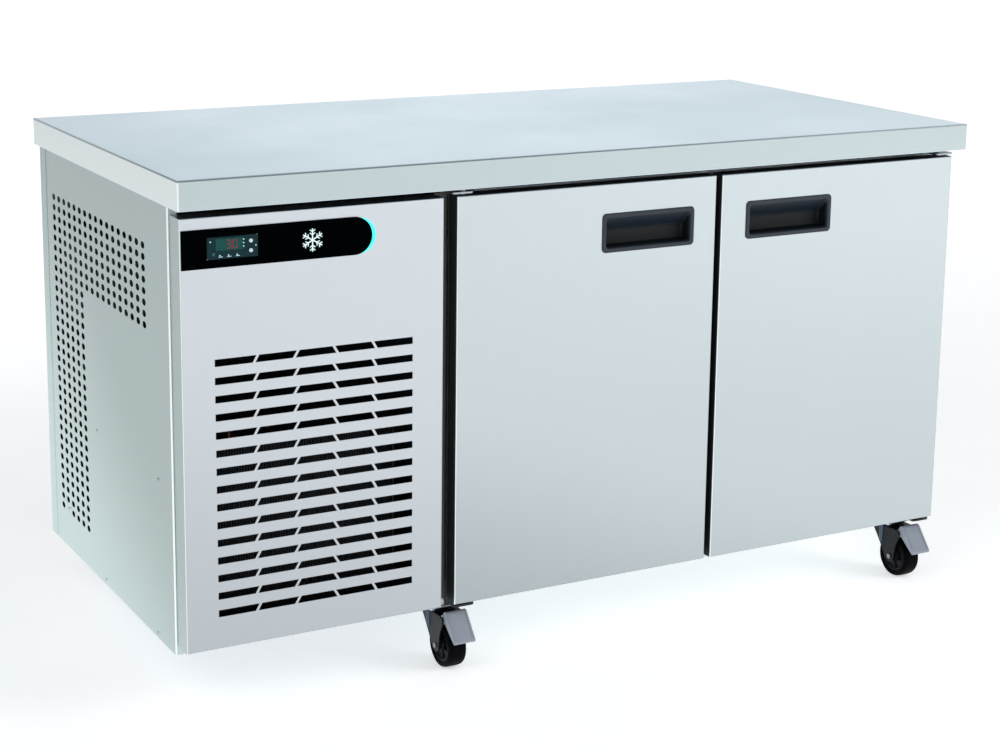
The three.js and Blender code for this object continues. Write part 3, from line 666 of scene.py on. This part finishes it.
def cabinet():
    liner()
    dress("outer_case", CASE_STEEL, 0.0005)
    dress("insulation_body", FOAM, 0)
    bm = bmesh.new()
    block(bm, (173, FLANGE_FACE, 152.4), (245.5, -250, 727.6), 1.5, 3)
    for z in (160, 720):
        screw(bm, "y", (209, FLANGE_FACE + 0.2, z), 3, 0.1, -1)
    put("centre_post", bm, BLACK_PLASTIC, "door_mullion")
    bm = bmesh.new()
    profile = [(-304, 766), (-298.4, 766), (-298.4, 775.4), (-301, 775.4), (-301, 773), (-304, 772)]
    prism(bm, profile, "x", -226, 652, 0.5)
    put("rail_over_doors", bm, RAIL, "top_rail")


def shelves():
    width, y0, y1, z, inset, spaces = 325, -240, 260, 431.4, 3, 20
    for name, x0 in (("left", -155), ("right", 281.5)):
        bm = bmesh.new()
        border = rounded(x0 + inset, x0 + width - inset, y0 + inset, y1 - inset, 14, 6)
        tube(bm, [(a, b, z) for a, b in border], 3, closed=True)
        for k in range(1, spaces):
            x = x0 + width * k / spaces
            tube(bm, [(x, y0 + inset, z + 0.6), (x, y1 - inset, z + 0.6)], 1.6)
        for y in (-80, 95):
            tube(bm, [(x0 + inset, y, z - 1.3), (x0 + width - inset, y, z - 1.3)], 1.7)
        put("wire_shelf_" + name, bm, WIRE_STEEL, "shelf_" + name, 50)
    for side in ("left", "centre", "right"):
        dress("shelf_runner_" + side, LINER_STEEL, 0.0005)


# ---------------- machine compartment panels


def slot_holes():
    """Rows of slots, parted by slanting bars; offsets are each bar's middle at the slots' top and bottom."""
    middle, half_bar = -494.4, 2.2
    top_row, row_step, height = 556.5, 27, 10.7
    offsets = [(-157, -157), (-91, -97), (-28, -34.5), (28, 34.5), (91, 97), (157, 157)]
    holes = []
    for row in range(15):
        top = top_row - row_step * row
        low = top - height
        for k in range(5):
            left_top, left_low = (middle + (o + (half_bar if k else 0)) for o in offsets[k])
            right_top, right_low = (middle + (o - (half_bar if k < 4 else 0)) for o in offsets[k + 1])
            holes.append([(left_low, low), (right_low, low), (right_top, top), (left_top, top)])
    return holes


def front_panel():
    bm = bmesh.new()
    window = box(-660, -585.2, 703.4, 733.2)
    folded_front(bm, PANEL_LEFT, -286, -298.4, [window, *slot_holes()])
    # The round of the left fold takes the bright fold steel, a painted highlight; the left-facing return
    # takes the side panel's lighter steel, painted light.
    highlight_left_fold(bm, PANEL_LEFT, 2)
    mark(bm, 1, lambda face, middle: face.normal.x < -0.8 and middle.x < PANEL_LEFT + 0.5)
    put("slotted_panel", bm, PANEL_STEEL, "unit_front_panel", 35, (SIDE_STEEL, FOLD_HIGHLIGHT_STEEL))


def perforations():
    """Oval holes: short columns, and six long ones at the back with one place left out."""
    holes = []
    for column in range(17):
        y = 252 - 27.7 * column
        for row in range(32 if column < 6 else 8):
            if (column, row) != (1, 31):
                holes.append(disc(y, 701.5 - 17.08 * row, 8.4, 5.3, 16))
    return holes


def side_panel():
    bm = bmesh.new()
    r, thick = 3.5, 1.5
    outline = box(FLANGE_FACE + r, REAR_FACE - r, CASE_LOW, CASE_TOP)
    sheet(bm, [outline, *perforations()], YZ, SIDE_FACE + 0.5, 1.0, 0.15)
    for y, way in ((FLANGE_FACE, 1), (REAR_FACE, -1)):
        points = [(SIDE_FACE, y + r * way)]
        for t in FOLD_ANGLES:
            points.append((SIDE_FACE + r - r * math.cos(t), y + (r - r * math.sin(t)) * way))
        points += [(-690, y), (-690, y + thick * way)]
        points += [(SIDE_FACE + r, y + thick * way), (SIDE_FACE + thick, y + r * way)]
        prism(bm, points, "z", CASE_LOW, CASE_TOP, 0)
    for y, z in ((55, 354), (-237, 357), (27, 112), (-220, 111), (213, 176), (224.3, 172)):
        screw(bm, "x", (SIDE_FACE, y, z), 3.2, 1.4, -1)
    # The round of the front fold takes the bright fold steel: a painted highlight.
    mark(bm, 1, lambda face, middle: folds(face) and middle.y < FLANGE_FACE + 3)
    put("perforated_side", bm, SIDE_STEEL, "unit_side_panel", others=[FOLD_HIGHLIGHT_STEEL])
    bm = bmesh.new()
    block(bm, (SIDE_FACE - 0.9, 292, CASE_LOW + 0.2), (SIDE_FACE + 0.1, 321.4, CASE_TOP - 0.2), 0.4)
    put("rear_corner_strip", bm, SIDE_STEEL)


def compartment():
    dress("unit_base_tray", ZINC, 0.0004)
    bm = bmesh.new()
    block(bm, (-275.6, -293, 124), (-272.4, 317, 768), 0.8)
    block(bm, (-689, 316.6, 400), (-276, 319.8, 494), 0.8)
    block(bm, (-540, 316.6, 502), (-276, 319.8, 768), 0.8)
    block(bm, (-689, 306, 150), (-276, 308, 372), 0.5)
    put("sound_mats", bm, MAT)
    bm = bmesh.new()
    block(bm, (-285.4, -302.6, DOOR_LOW), (-264.4, -298.3, 765), 0.6)
    put("channel_trim", bm, TRIM)
    back_panel()


def back_panel():
    bm = bmesh.new()
    loops = [box(-689.7, -272.4, CASE_LOW, CASE_TOP), disc(-620, 560, 9.5)]
    for row in range(5):
        for column in range(3):
            x, z = -660 + column * 122, 180 + row * 40
            loops.append(rounded(x, x + 100, z, z + 8, 3.9, 4))
    sheet(bm, loops, XZ, -320.75, 1.5, 0.15)
    for x in (-675, -482, -287):
        for z in (118, 762):
            screw(bm, "y", (x, REAR_FACE, z), 3.2, 0.1, 1)
    put("vented_back", bm, ZINC, "unit_back_panel")


# ---------------- control strip

# The bars of a seven-segment figure, each from place to place, in widths and half heights.
TOP_BAR, MIDDLE_BAR, LOW_BAR = (0, 2, 1, 2), (0, 1, 1, 1), (0, 0, 1, 0)
HIGH_LEFT, LOW_LEFT, HIGH_RIGHT, LOW_RIGHT = (0, 1, 0, 2), (0, 0, 0, 1), (1, 1, 1, 2), (1, 0, 1, 1)
ZERO = (TOP_BAR, HIGH_RIGHT, LOW_RIGHT, LOW_BAR, LOW_LEFT, HIGH_LEFT)
THREE = (TOP_BAR, HIGH_RIGHT, LOW_RIGHT, LOW_BAR, MIDDLE_BAR)


def digit(bm, bars, x, z):
    """One seven-segment figure."""
    width, half_height, y = 6.2, 5.75, -340.15
    gap, half_bar = 0.9, 0.75
    for a0, b0, a1, b1 in bars:
        dx, dz = (gap, -half_bar) if b0 == b1 else (-half_bar, gap)
        low = (x + width * a0 + dx, y, z + half_height * b0 + dz)
        high = (x + width * a1 - dx, y + 0.3, z + half_height * b1 - dz)
        block(bm, low, high, 0.1, 1)


def strip():
    bm = bmesh.new()
    (cx, cz), radius, left = STRIP_ROUND, 28.2, -698.9
    end = arc(cx, cz, radius, circle(48, -math.pi / 2)[:25])
    outline = [(left, cz - radius), *end, (left, cz + radius)]
    sheet(bm, [outline, box(-661.5, -583.8, 702, 734.5)], XZ, 338.45, 2.2, 0.4)
    put("control_strip", bm, STRIP_BLACK, "control_fascia")


def lit_crescent():
    """A crescent round the strip's end, between an inner arc and an outer arc with its centre shifted."""
    bm = bmesh.new()
    cx, cz = STRIP_ROUND
    inner, edge, tip = 28.6, 34.3, math.radians(70)
    shift = (edge * edge - inner * inner) / (2 * (edge - inner * math.cos(tip)))
    swing = math.atan2(inner * math.sin(tip), inner * math.cos(tip) - shift)
    outline = arc(cx, cz, inner, [-tip * (1 - k / 11) for k in range(23)])
    outline += arc(cx + shift, cz, edge - shift, [swing * (1 - k / 11) for k in range(1, 22)])
    sheet(bm, [outline], XZ, 338.1, 1.5, 0.35)
    put("lit_crescent", bm, ACCENT, "fascia_light")


def controls():
    strip()
    lit_crescent()
    display()
    cap = [(0, -338.35), (2.9, -338.35), (2.9, -340.2), (2.4, -340.75), (1.2, -340.6), (0, -340.5)]
    for name, x, z in KEYS:
        bm = bmesh.new()
        turned(bm, cap, "y", (x, 0, z), 24)
        finish = KEY_DARK if name == "set" else KEY
        put("key_" + name, bm, finish, "button_" + name, body="button_" + name)


def display():
    bm = bmesh.new()
    outline = rounded(-661.1, -584.2, 702.4, 734.1, 2.5)
    wells = [disc(x, z, 3.4, None, 24) for _, x, z in KEYS]
    sheet(bm, [outline, *wells], XZ, 338.8, 2.2, 0.5)
    block(bm, (-658.4, -337.4, 705.2), (-586.9, -275.2, 731.4), 1.2, 3)
    put("display_module", bm, DISPLAY, "controller")
    bm = bmesh.new()
    block(bm, (-648, -340.0, 714.5), (-607, -339.8, 731.5), 0.05, 1)
    put("display_window", bm, LCD)
    bm = bmesh.new()
    digit(bm, THREE, -632, 717.3)
    digit(bm, ZERO, -622, 717.3)
    rod(bm, "y", (-624, 0, 717.0), 0.8, -340.15, -339.9, 10)
    put("display_digits", bm, DIGIT)
    display_marks()
    snowflake(-500, STRIP_ROUND[1], 17)


def display_marks():
    bm = bmesh.new()
    dots = [(-642, 707.5), (-629, 707.5), (-616, 707.5), (-606, 728.5), (-606, 723.5), (-606, 718.5)]
    for x, z in (*dots, (-587.5, 718.5), (-656, 728)):
        rod(bm, "y", (x, 0, z), 0.95, -340.1, -339.7, 12)
    for x in (-644, -631, -618):
        block(bm, (x, -340.1, 705.2), (x + 6, -339.8, 705.9), 0.05, 1)
    put("display_marks", bm, ICON)


def snowflake(x, z, size):
    """A plain six-armed flake, flattened onto the strip."""
    bm = bmesh.new()
    y, flatness = -339.6, 0.35
    centre = Vector((x, y, z))
    for k in range(6):
        t = math.radians(60 * k + 30)
        arm = Vector((math.cos(t), 0, math.sin(t)))
        tube(bm, [centre, centre + arm * size], 1.0)
        for share in (0.45, 0.72):
            for turn in (-1, 1):
                b = t + turn * math.radians(55)
                start = centre + arm * size * share
                tube(bm, [start, start + Vector((math.cos(b), 0, math.sin(b))) * size * 0.3], 0.8)
    for v in bm.verts:
        v.co.y = y + (v.co.y - y) * flatness
    put("snowflake_mark", bm, GLOWING_PRINT)


# ---------------- refrigerating unit


def compressor():
    bm = bmesh.new()
    profile = [(0, 130), (56, 130), (74, 136), (86, 150), (91, 170), (92, 206), (92, 207), (95.5, 207)]
    profile += [(95.5, 212), (92, 212), (91, 216), (87, 240), (78, 264), (62, 281), (40, 289), (0, 291.6)]
    turned(bm, profile, "z", (-470, 70, 0), 48, squash=0.82)
    block(bm, (-392, 47, 181), (-363, 93, 234), 4, 3)
    for y, z in ((30, 200), (110, 210)):
        tube(bm, [(-556, y, z), (-566, y, z)], 4.5)
    put("compressor_shell", bm, BLACK_COAT, "compressor", 40)
    bm = bmesh.new()
    block(bm, (-569, 1, 123), (-371, 139, 126), 1.2)
    put("compressor_base", bm, ZINC)
    bm = bmesh.new()
    foot = [(0, 106.4), (10.5, 106.4), (10.5, 110), (8, 112), (8, 117), (10.5, 119), (10.5, 122.6)]
    for x in (-555, -385):
        for y in (15, 125):
            turned(bm, [*foot, (0, 122.6)], "z", (x, y, 0), 20)
    put("compressor_feet", bm, SEAL)


def condenser():
    bm = bmesh.new()
    for k in range(72):
        x = -651 + k * 4.34
        block(bm, (x, -267.5, 130), (x + 0.5, -229, 398), 0)
    for x in (-654.6, -336.6):
        block(bm, (x, -268, 128.4), (x + 1.4, -228.2, 399.6), 0.3, 1)
    put("condenser_fins", bm, DARK_FIN, "condenser_coil")
    ends = [((-652, y), (-339, y)) for y in (-258, -240)]
    coil_tubes("condenser_tubes", ends, [145 + 29 * row for row in range(9)], 3.6)


def coil_tubes(name, ends, heights, radius):
    bm = bmesh.new()
    for z in heights:
        for start, end in ends:
            tube(bm, [(*start, z), (*end, z)], radius)
    put(name, bm, COPPER)


def blade_side(bm, radius, hub, depth, start, count, side, steps):
    """One face of a blade: a grid of points from the hub outwards, swept, twisted and cambered."""
    pitch, sweep, thick = 0.9, 0.12, 1.2
    grid = []
    for i in range(steps + 1):
        out = i / steps
        r = hub - 1 + (radius - hub + 1) * out
        width = (0.62 + 0.1 * out) * 2 * math.pi / count
        row = []
        for j in range(steps + 1):
            u = j / steps - 0.5
            t = start + width * u + sweep * out**2
            camber = depth * 0.12 * (1 - 4 * u * u)
            y = -u * depth * (1 - 0.25 * out) * pitch + camber + side * thick / 2
            row.append(bm.verts.new((r * math.cos(t), y, r * math.sin(t))))
        grid.append(row)
    return grid


def blades(bm, radius, hub, depth):
    """Five fan blades about the Y axis, standing on a hub."""
    count, n = 5, 6
    for start in circle(count):
        low, high = (blade_side(bm, radius, hub, depth, start, count, side, n) for side in (-1, 1))
        for i in range(n):
            for j in range(n):
                bm.faces.new((high[i][j], high[i][j + 1], high[i + 1][j + 1], high[i + 1][j]))
                bm.faces.new((low[i][j], low[i + 1][j], low[i + 1][j + 1], low[i][j + 1]))
        edge = [(i, 0) for i in range(n)] + [(n, j) for j in range(n)]
        edge += [(i, n) for i in range(n, 0, -1)] + [(0, j) for j in range(n, 0, -1)]
        for (i, j), (k, m) in zip(edge, edge[1:] + edge[:1]):
            bm.faces.new((low[i][j], low[k][m], high[k][m], high[i][j]))


def fan(name, radius, hub, depth, boss, sides, place):
    bm = bmesh.new()
    blades(bm, radius, hub, depth)
    turned(bm, boss, "y", (0, 0, 0), sides)
    turn_bm(bm, 0, place)
    put(name + "_blades", bm, BLACK_PLASTIC, name + "_fan", 40, body=name + "_fan")


def fans():
    x, z = CONDENSER_FAN
    boss = [(0, -11.5), (24, -11.5), (30, -9), (31.5, -5), (31.5, 11.5), (28, 11.5), (28, -4), (0, -4)]
    fan("condenser", 106, 30, 21, boss, 36, Matrix.Translation((x, -208, z)))
    y, z = EVAPORATOR_FAN
    boss = [(0, -7.6), (16, -7.6), (19.4, -5), (19.4, 7.6), (17, 7.6), (17, -3), (0, -3)]
    sideways = Matrix.Rotation(math.pi / 2, 4, "Z")
    fan("evaporator", 54.5, 19, 14, boss, 30, Matrix.Translation((-185.7, y, z)) @ sideways)


def shroud():
    bm = bmesh.new()
    x, z = CONDENSER_FAN
    x0, x1, z0, z1 = -507, -483, 132.4, 395.6
    sheet(bm, [rounded(-655, -335, 126.2, 401.8, 4), disc(x, z, 113, None, 64)], XZ, 226, 1.8, 0.3)
    ring = [(117.6, -226), (117.6, -190.6), (116.6, -190), (114, -190), (113, -191), (113, -226)]
    turned(bm, ring, "y", (x, 0, z), 64, True)
    block(bm, (x0, -152, z0), (x1, -149.4, z1), 0.5)
    block(bm, (x0, -226, z0), (x1, -150, z0 + 2.4), 0.5)
    block(bm, (x0, -226, z1 - 2.4), (x1, -150, z1), 0.5)
    motor = [(0, -191.8), (5, -191.8), (5, -190), (30, -189), (35, -184), (35.6, -178), (35.6, -160)]
    motor += [(34, -154), (30, -151.4), (0, -151.4)]
    turned(bm, motor, "y", (x, 0, z), 36)
    put("fan_shroud", bm, BLACK_COAT, "condenser_fan_shroud", 40)


def pipes():
    discharge = [(-470, 70, 293), (-470, 66, 330), (-430, 20, 350), (-352, -60, 350), (-346, -150, 380)]
    liquid = [(-640, -223.4, 170), (-640, -180, 168), (-640, -60, 160), (-630, 60, 180), (-600, 190, 330)]
    liquid += [(-480, 215, 470), (-340, 130, 560), (-300, 95, 560), (-277, 95, 560)]
    bm = bmesh.new()
    tube(bm, [*discharge, (-346, -223.4, 384)], 4.8, 10)
    put("discharge_pipe", bm, COPPER, "discharge_line", 50)
    bm = bmesh.new()
    tube(bm, liquid, 3.8, 12)
    drier = [(0, -50), (4.5, -49.5), (6, -44), (12, -38), (13.6, -34)]
    drier += [(radius, -height) for radius, height in reversed(drier)]
    turned(bm, drier, "y", (-636, 0, 166), 28)
    put("liquid_pipe", bm, COPPER, "liquid_line", 50)
    bm = bmesh.new()
    tube(bm, liquid[3:], 6.2, 12)
    tube(bm, [*discharge[2:], (-346, -214, 384)], 6.6, 10)
    put("pipe_insulation", bm, MAT, angle=50)


def electrics():
    bm = bmesh.new()
    block(bm, (-689.6, 190.4, 500.4), (-560.4, 311.4, 639.6), 4, 3)
    for z in (520, 570, 620):
        block(bm, (-561, 205, z - 1.5), (-560, 297, z + 1.5), 0.3, 1)
    gland = [(0, 311), (8.8, 311), (8.8, 326), (8, 327.5), (6.5, 330), (6.2, 334), (0, 334)]
    turned(bm, gland, "y", (-620, 0, 560), 24)
    for t in circle(12):
        x, z = -620 + 8.6 * math.cos(t), 560 + 8.6 * math.sin(t)
        tube(bm, [(x, 314, z), (x, 324, z)], 0.4)
    put("electrical_case", bm, BOX_PLASTIC, "electrical_box")


def fan_guard(bm, x):
    """Rings and spokes over the evaporator's fan."""
    cy, cz = EVAPORATOR_FAN
    for k in range(5):
        r = 14 + 11.4 * k
        tube(bm, [(x - 2.6, cy + r * math.cos(t), cz + r * math.sin(t)) for t in circle(48)], 0.8, 0, True, 2)
    for t in circle(4, math.pi / 4):
        c, s = math.cos(t), math.sin(t)
        tube(bm, [(x - 2.2, cy + r * c, cz + r * s) for r in (12, 63)], 0.9)


def evaporator_cover():
    bm = bmesh.new()
    x0, x1, y0, y1, z0, z1 = -221.7, -165, -210, 235, 446, 722
    cy, cz = EVAPORATOR_FAN
    r = 3
    vents = [rounded(20, 200, 485 + i * 31, 497 + i * 31, 5) for i in range(7)]
    sheet(bm, [box(y0, y1, z0, z1, r), disc(cy, cz, 60.5, None, 48), *vents], YZ, x1 - 0.7, 1.2, 0.2)
    profile = [(0, x0 + 0.2), (0, x1 - r), (0.5, x1 - 1.4), (1.5, x1 - 0.4), (r, x1 - 0.1), (r, x1 - 1.3)]
    profile += [(1.6, x1 - 1.9), (1.3, x1 - r), (1.3, x0 + 0.2)]
    first = len(bm.verts)
    surround(bm, (y0, y1, z0, z1), profile, "xy")
    turn_bm(bm, first, YZ)
    block(bm, (x0 + 3, cy - 8, z0 + 1), (x0 + 6, cy + 8, z1 - 1), 0.4)
    motor = [(0, 4), (20, 4), (21.6, 6), (21.6, 22), (19, 25), (6, 25.8), (0, 25.8)]
    turned(bm, motor, "x", (x0, cy, cz), 28)
    fan_guard(bm, x1)
    put("evaporator_housing", bm, WHITE_PLASTIC, "evaporator_cover", 40)


def evaporator():
    evaporator_cover()
    bm = bmesh.new()
    for k in range(40):
        y = 14 + k * 5
        block(bm, (-216, y, 457), (-176, y + 0.5, 711), 0)
    put("evaporator_fins", bm, FIN, "evaporator_coil")
    ends = [((x, 13), (x, 211)) for x in (-206, -186)]
    coil_tubes("evaporator_tubes", ends, [472 + 32 * row for row in range(8)], 3.4)


# ---------------- castors


def castor(name, x, y, brake):
    wy = y - CASTOR_TRAIL
    bolts = [(x + a, y + b) for a in (-BOLT_OFFSET, BOLT_OFFSET) for b in (-BOLT_OFFSET, BOLT_OFFSET)]
    bm = bmesh.new()
    holes = [disc(*bolt, 3.6, None, 16) for bolt in bolts]
    sheet(bm, [rounded(x - 36, x + 36, y - 36, y + 36, 7), *holes], XY, 102.3, 3, 0.5)
    turned(bm, [(0, 101), (26, 101), (27, 100.2), (25, 98.4), (22, 97.5), (0, 97.5)], "z", (x, y, 0), 40)
    put("castor_mount_" + name, bm, ZINC, "castor_plate_" + name)
    bm = bmesh.new()
    for a, b in bolts:
        hexagon(bm, "z", (a, b, 0), 5.2, 97.6, 101)
    put("castor_bolts_" + name, bm, BOLT)
    fork(name, x, y, wy, "castor_fork_" + name)
    wheel(name, x, wy, "castor_wheel_" + name)
    if brake:
        pedal(name, x, wy - 14, "brake_pedal_" + name)


def fork(name, x, y, wy, body):
    bm = bmesh.new()
    leg = [(50, 90), (-14, 90), (-20, 88.5), (-22, 84), (-21, 76), (-14, 60), (-11, 40), (-9.5, 31)]
    leg += [(-6, 27.6), (0, 27), (6, 27.8), (10, 31), (22, 47), (38, 68), (47, 79)]
    for a, b in ((x - 22, x - 19.2), (x + 19.2, x + 22)):
        prism(bm, [(wy + dy, z) for dy, z in leg], "x", a, b, 0.9, 3)
    block(bm, (x - 22, y - 34, 86.4), (x + 22, y + 20, 90), 1.2, 3)
    head = [(0, 89.2), (25.6, 89.2), (25.9, 91), (24.6, 92.4), (25.4, 93.2), (25.6, 95), (23, 96.4), (12, 97)]
    turned(bm, [*head, (0, 97)], "z", (x, y, 0), 40)
    put("fork_" + name, bm, FORK_STEEL, body, 40, body=body)
    # Ribs in a lighter copy of the fork's steel paint a highlight streak down each leg.
    bm = bmesh.new()
    rib = [(0, 54), (2.2, 55.5), (3.9, 61), (4.5, 70), (4.6, 89.4), (0, 89.4)]
    for way in (-1, 1):
        turned(bm, rib, "z", (x + 20.6 * way, wy + 26, 0), 24)
    put("fork_rib_" + name, bm, FORK_HIGHLIGHT_STEEL, body=body)
    bm = bmesh.new()
    axle = (x, wy, AXLE_HEIGHT)
    rod(bm, "x", axle, 3.6, -24.4, 24.4, 20)
    for start, end in ((-24.2, -21.8), (21.8, 24.2)):
        hexagon(bm, "x", axle, 4.8, start, end)
    put("axle_bolt_" + name, bm, AXLE_STEEL, body=body)


def wheel(name, x, wy, body):
    bm = bmesh.new()
    axle = (x, wy, AXLE_HEIGHT)
    half = [(27.5, 14), (30, 15.4), (33, 15.6), (35.4, 14.4), (36.7, 11.6), (WHEEL_RADIUS, 7)]
    tread = [(radius, -offset) for radius, offset in half] + half[::-1]
    turned(bm, tread, "x", axle, 72, True)
    put("tyre_" + name, bm, TYRE, body, 50, body=body)
    bm = bmesh.new()
    face = [(5.6, 0), (5.6, 15.9), (9, 15.9), (10.5, 14.6), (11.5, 11), (21, 10), (23.5, 12), (24.5, 13.6)]
    face += [(27.4, 13.4), (27.4, 0)]
    for way in (-1, 1):
        turned(bm, [(radius, offset * way) for radius, offset in face], "x", axle, 48, True)
        for t in circle(6, 0.26):
            c, s = math.cos(t), math.sin(t)
            tube(bm, [(x + 11.2 * way, wy + r * c, AXLE_HEIGHT + r * s) for r in (10, 24)], 1.7)
    put("hub_" + name, bm, HUB, angle=45, body=body)


def pedal(name, x, pivot, body):
    """A brake pedal; its outline is given from its pivot."""
    bm = bmesh.new()
    side = [(-12, 99.3), (-16, 97), (-44.8, 62), (-45.8, 59.6), (-44.8, 57.2), (-42.6, 56.2), (-40, 57.2)]
    side += [(-10, 80.4), (-3, 76.6), (1, 76.4), (5, 79), (6, 82.4), (3.6, 86.4), (0, 89), (-6, 96.8)]
    prism(bm, [(pivot + dy, z) for dy, z in (*side, (-9, 99.3))], "x", x - 18, x + 18, 1.4, 3)
    rail = [(-17, 95.6), (-43.4, 63.4), (-44.2, 64.2), (-17.8, 96.4)]
    for start in (x - 17, x + 14.4):
        prism(bm, [(pivot + dy, z) for dy, z in rail], "x", start, start + 2.6, 0.3)
    put("pedal_" + name, bm, GREY_PLASTIC, body, 45, body=body)
    bm = bmesh.new()
    for start in (-19, 18):
        rod(bm, "x", (x, pivot, 84), 4.2, start, start + 1, 20)
    put("pedal_pin_" + name, bm, BOLT, body=body)


# ---------------- set, in metres


def floor():
    """A pale floor whose own light fades towards the left and grows a little towards the back."""
    bm = bmesh.new()
    bmesh.ops.create_grid(bm, x_segments=1, y_segments=1, size=80)
    mesh = bpy.data.meshes.new("floor")
    bm.to_mesh(mesh)
    bm.free()
    pale = glowing("pale floor", (250, 251, 252), 0.5, 0.8)
    tree = pale.node_tree
    place = coordinates(tree)
    leftwards = along(tree, place, (-0.966, 0.26, 0.0), 1.0, 3.2, 0.5, 0.3)
    backwards = along(tree, place, (0, 1, 0), 0.5, 4.0, 1.0, 1.5)
    emission = tree.nodes["Principled BSDF"].inputs["Emission Strength"]
    tree.links.new(multiply(tree, leftwards, backwards), emission)
    mesh.materials.append(pale)
    add_object("floor", mesh)


def sky():
    """Bright low down and dark overhead, brighter to the front right and dim to the back left."""
    world = bpy.data.worlds.new("studio")
    world.use_nodes = True
    tree = world.node_tree
    direction = coordinates(tree, "Generated")
    height = add_node(tree, "SeparateXYZ", {"Vector": direction})["Z"]
    levels = ((0.0, 1.42), (0.14, 1.3), (0.27, 0.92), (0.5, 0.42), (1.0, 0.16))
    tones = [(place, (0.97 * level, 0.99 * level, level, 1.0)) for place, level in levels]
    color = color_ramp(tree, height, tones)
    front = along(tree, direction, (0.8, -0.6, 0.0), 0.5, 1.0, 0.94, 1.12)
    back = along(tree, direction, (-0.49, 0.87, 0.0), 0.55, 0.95, 1.0, 0.38)
    right = along(tree, direction, (0.8, 0.6, 0.0), 0.9, 1.0, 1.0, 0.88)
    for factor in (front, back, right):
        color = mix(tree, color, factor, 1.0, "MULTIPLY")
    tree.links.new(color, tree.nodes["Background"].inputs["Color"])
    bpy.context.scene.world = world


def lamp(name, place, aim, size, power, color):
    light = bpy.data.lights.new(name, "AREA")
    light.shape = "SQUARE"
    light.size = size
    light.energy = power
    light.color = color
    obj = add_object(name, light)
    obj.location = place
    obj.visible_camera = False
    obj.visible_glossy = False
    obj.rotation_mode = "QUATERNION"
    obj.rotation_quaternion = (Vector(aim) - Vector(place)).to_track_quat("-Z", "Y")


def camera():
    data = bpy.data.cameras.new("camera")
    data.sensor_width = 36.0
    data.lens = 73.88
    data.shift_y = -0.11
    data.clip_start = 0.05
    obj = add_object("camera", data)
    azimuth, elevation, roll = (math.radians(v) for v in (-28.72, 11.89, 0.71))
    level = math.cos(elevation)
    back = Vector((math.sin(azimuth) * level, -math.cos(azimuth) * level, math.sin(elevation)))
    right = Vector((math.cos(azimuth), math.sin(azimuth), 0))
    up = back.cross(right)
    across = right * math.cos(roll) + up * math.sin(roll)
    above = up * math.cos(roll) - right * math.sin(roll)
    axes = Matrix((across, above, back)).transposed().to_4x4()
    obj.matrix_world = Matrix.Translation((-1.6563, -3.0126, 1.2953)) @ axes
    bpy.context.scene.camera = obj


camera()
floor()
sky()
lamp("key", (4.4, -4.8, 3.6), (3.0, -3.5, 0.0), 3.0, 150, (1.0, 1.0, 0.99))
lamp("fill", (-3.4, -2.0, 3.2), (-2.0, -0.5, 0.0), 2.4, 42, (0.99, 1.0, 1.0))
worktop()
door("left", -263.5, 203.5, -9.5)
door("right", 215, 688.5, 262.5)
hinges("left", -247.5, 1)
hinges("right", 672.5, -1)
cabinet()
shelves()
front_panel()
side_panel()
compartment()
controls()
compressor()
condenser()
fans()
shroud()
pipes()
electrics()
evaporator()
for end, y in (("front", -262), ("rear", 262)):
    for side, x in (("left", -250.5), ("right", 659.5)):
        castor(end + "_" + side, x, y, end == "front")
bpy.context.scene.view_settings.view_transform = "Standard"
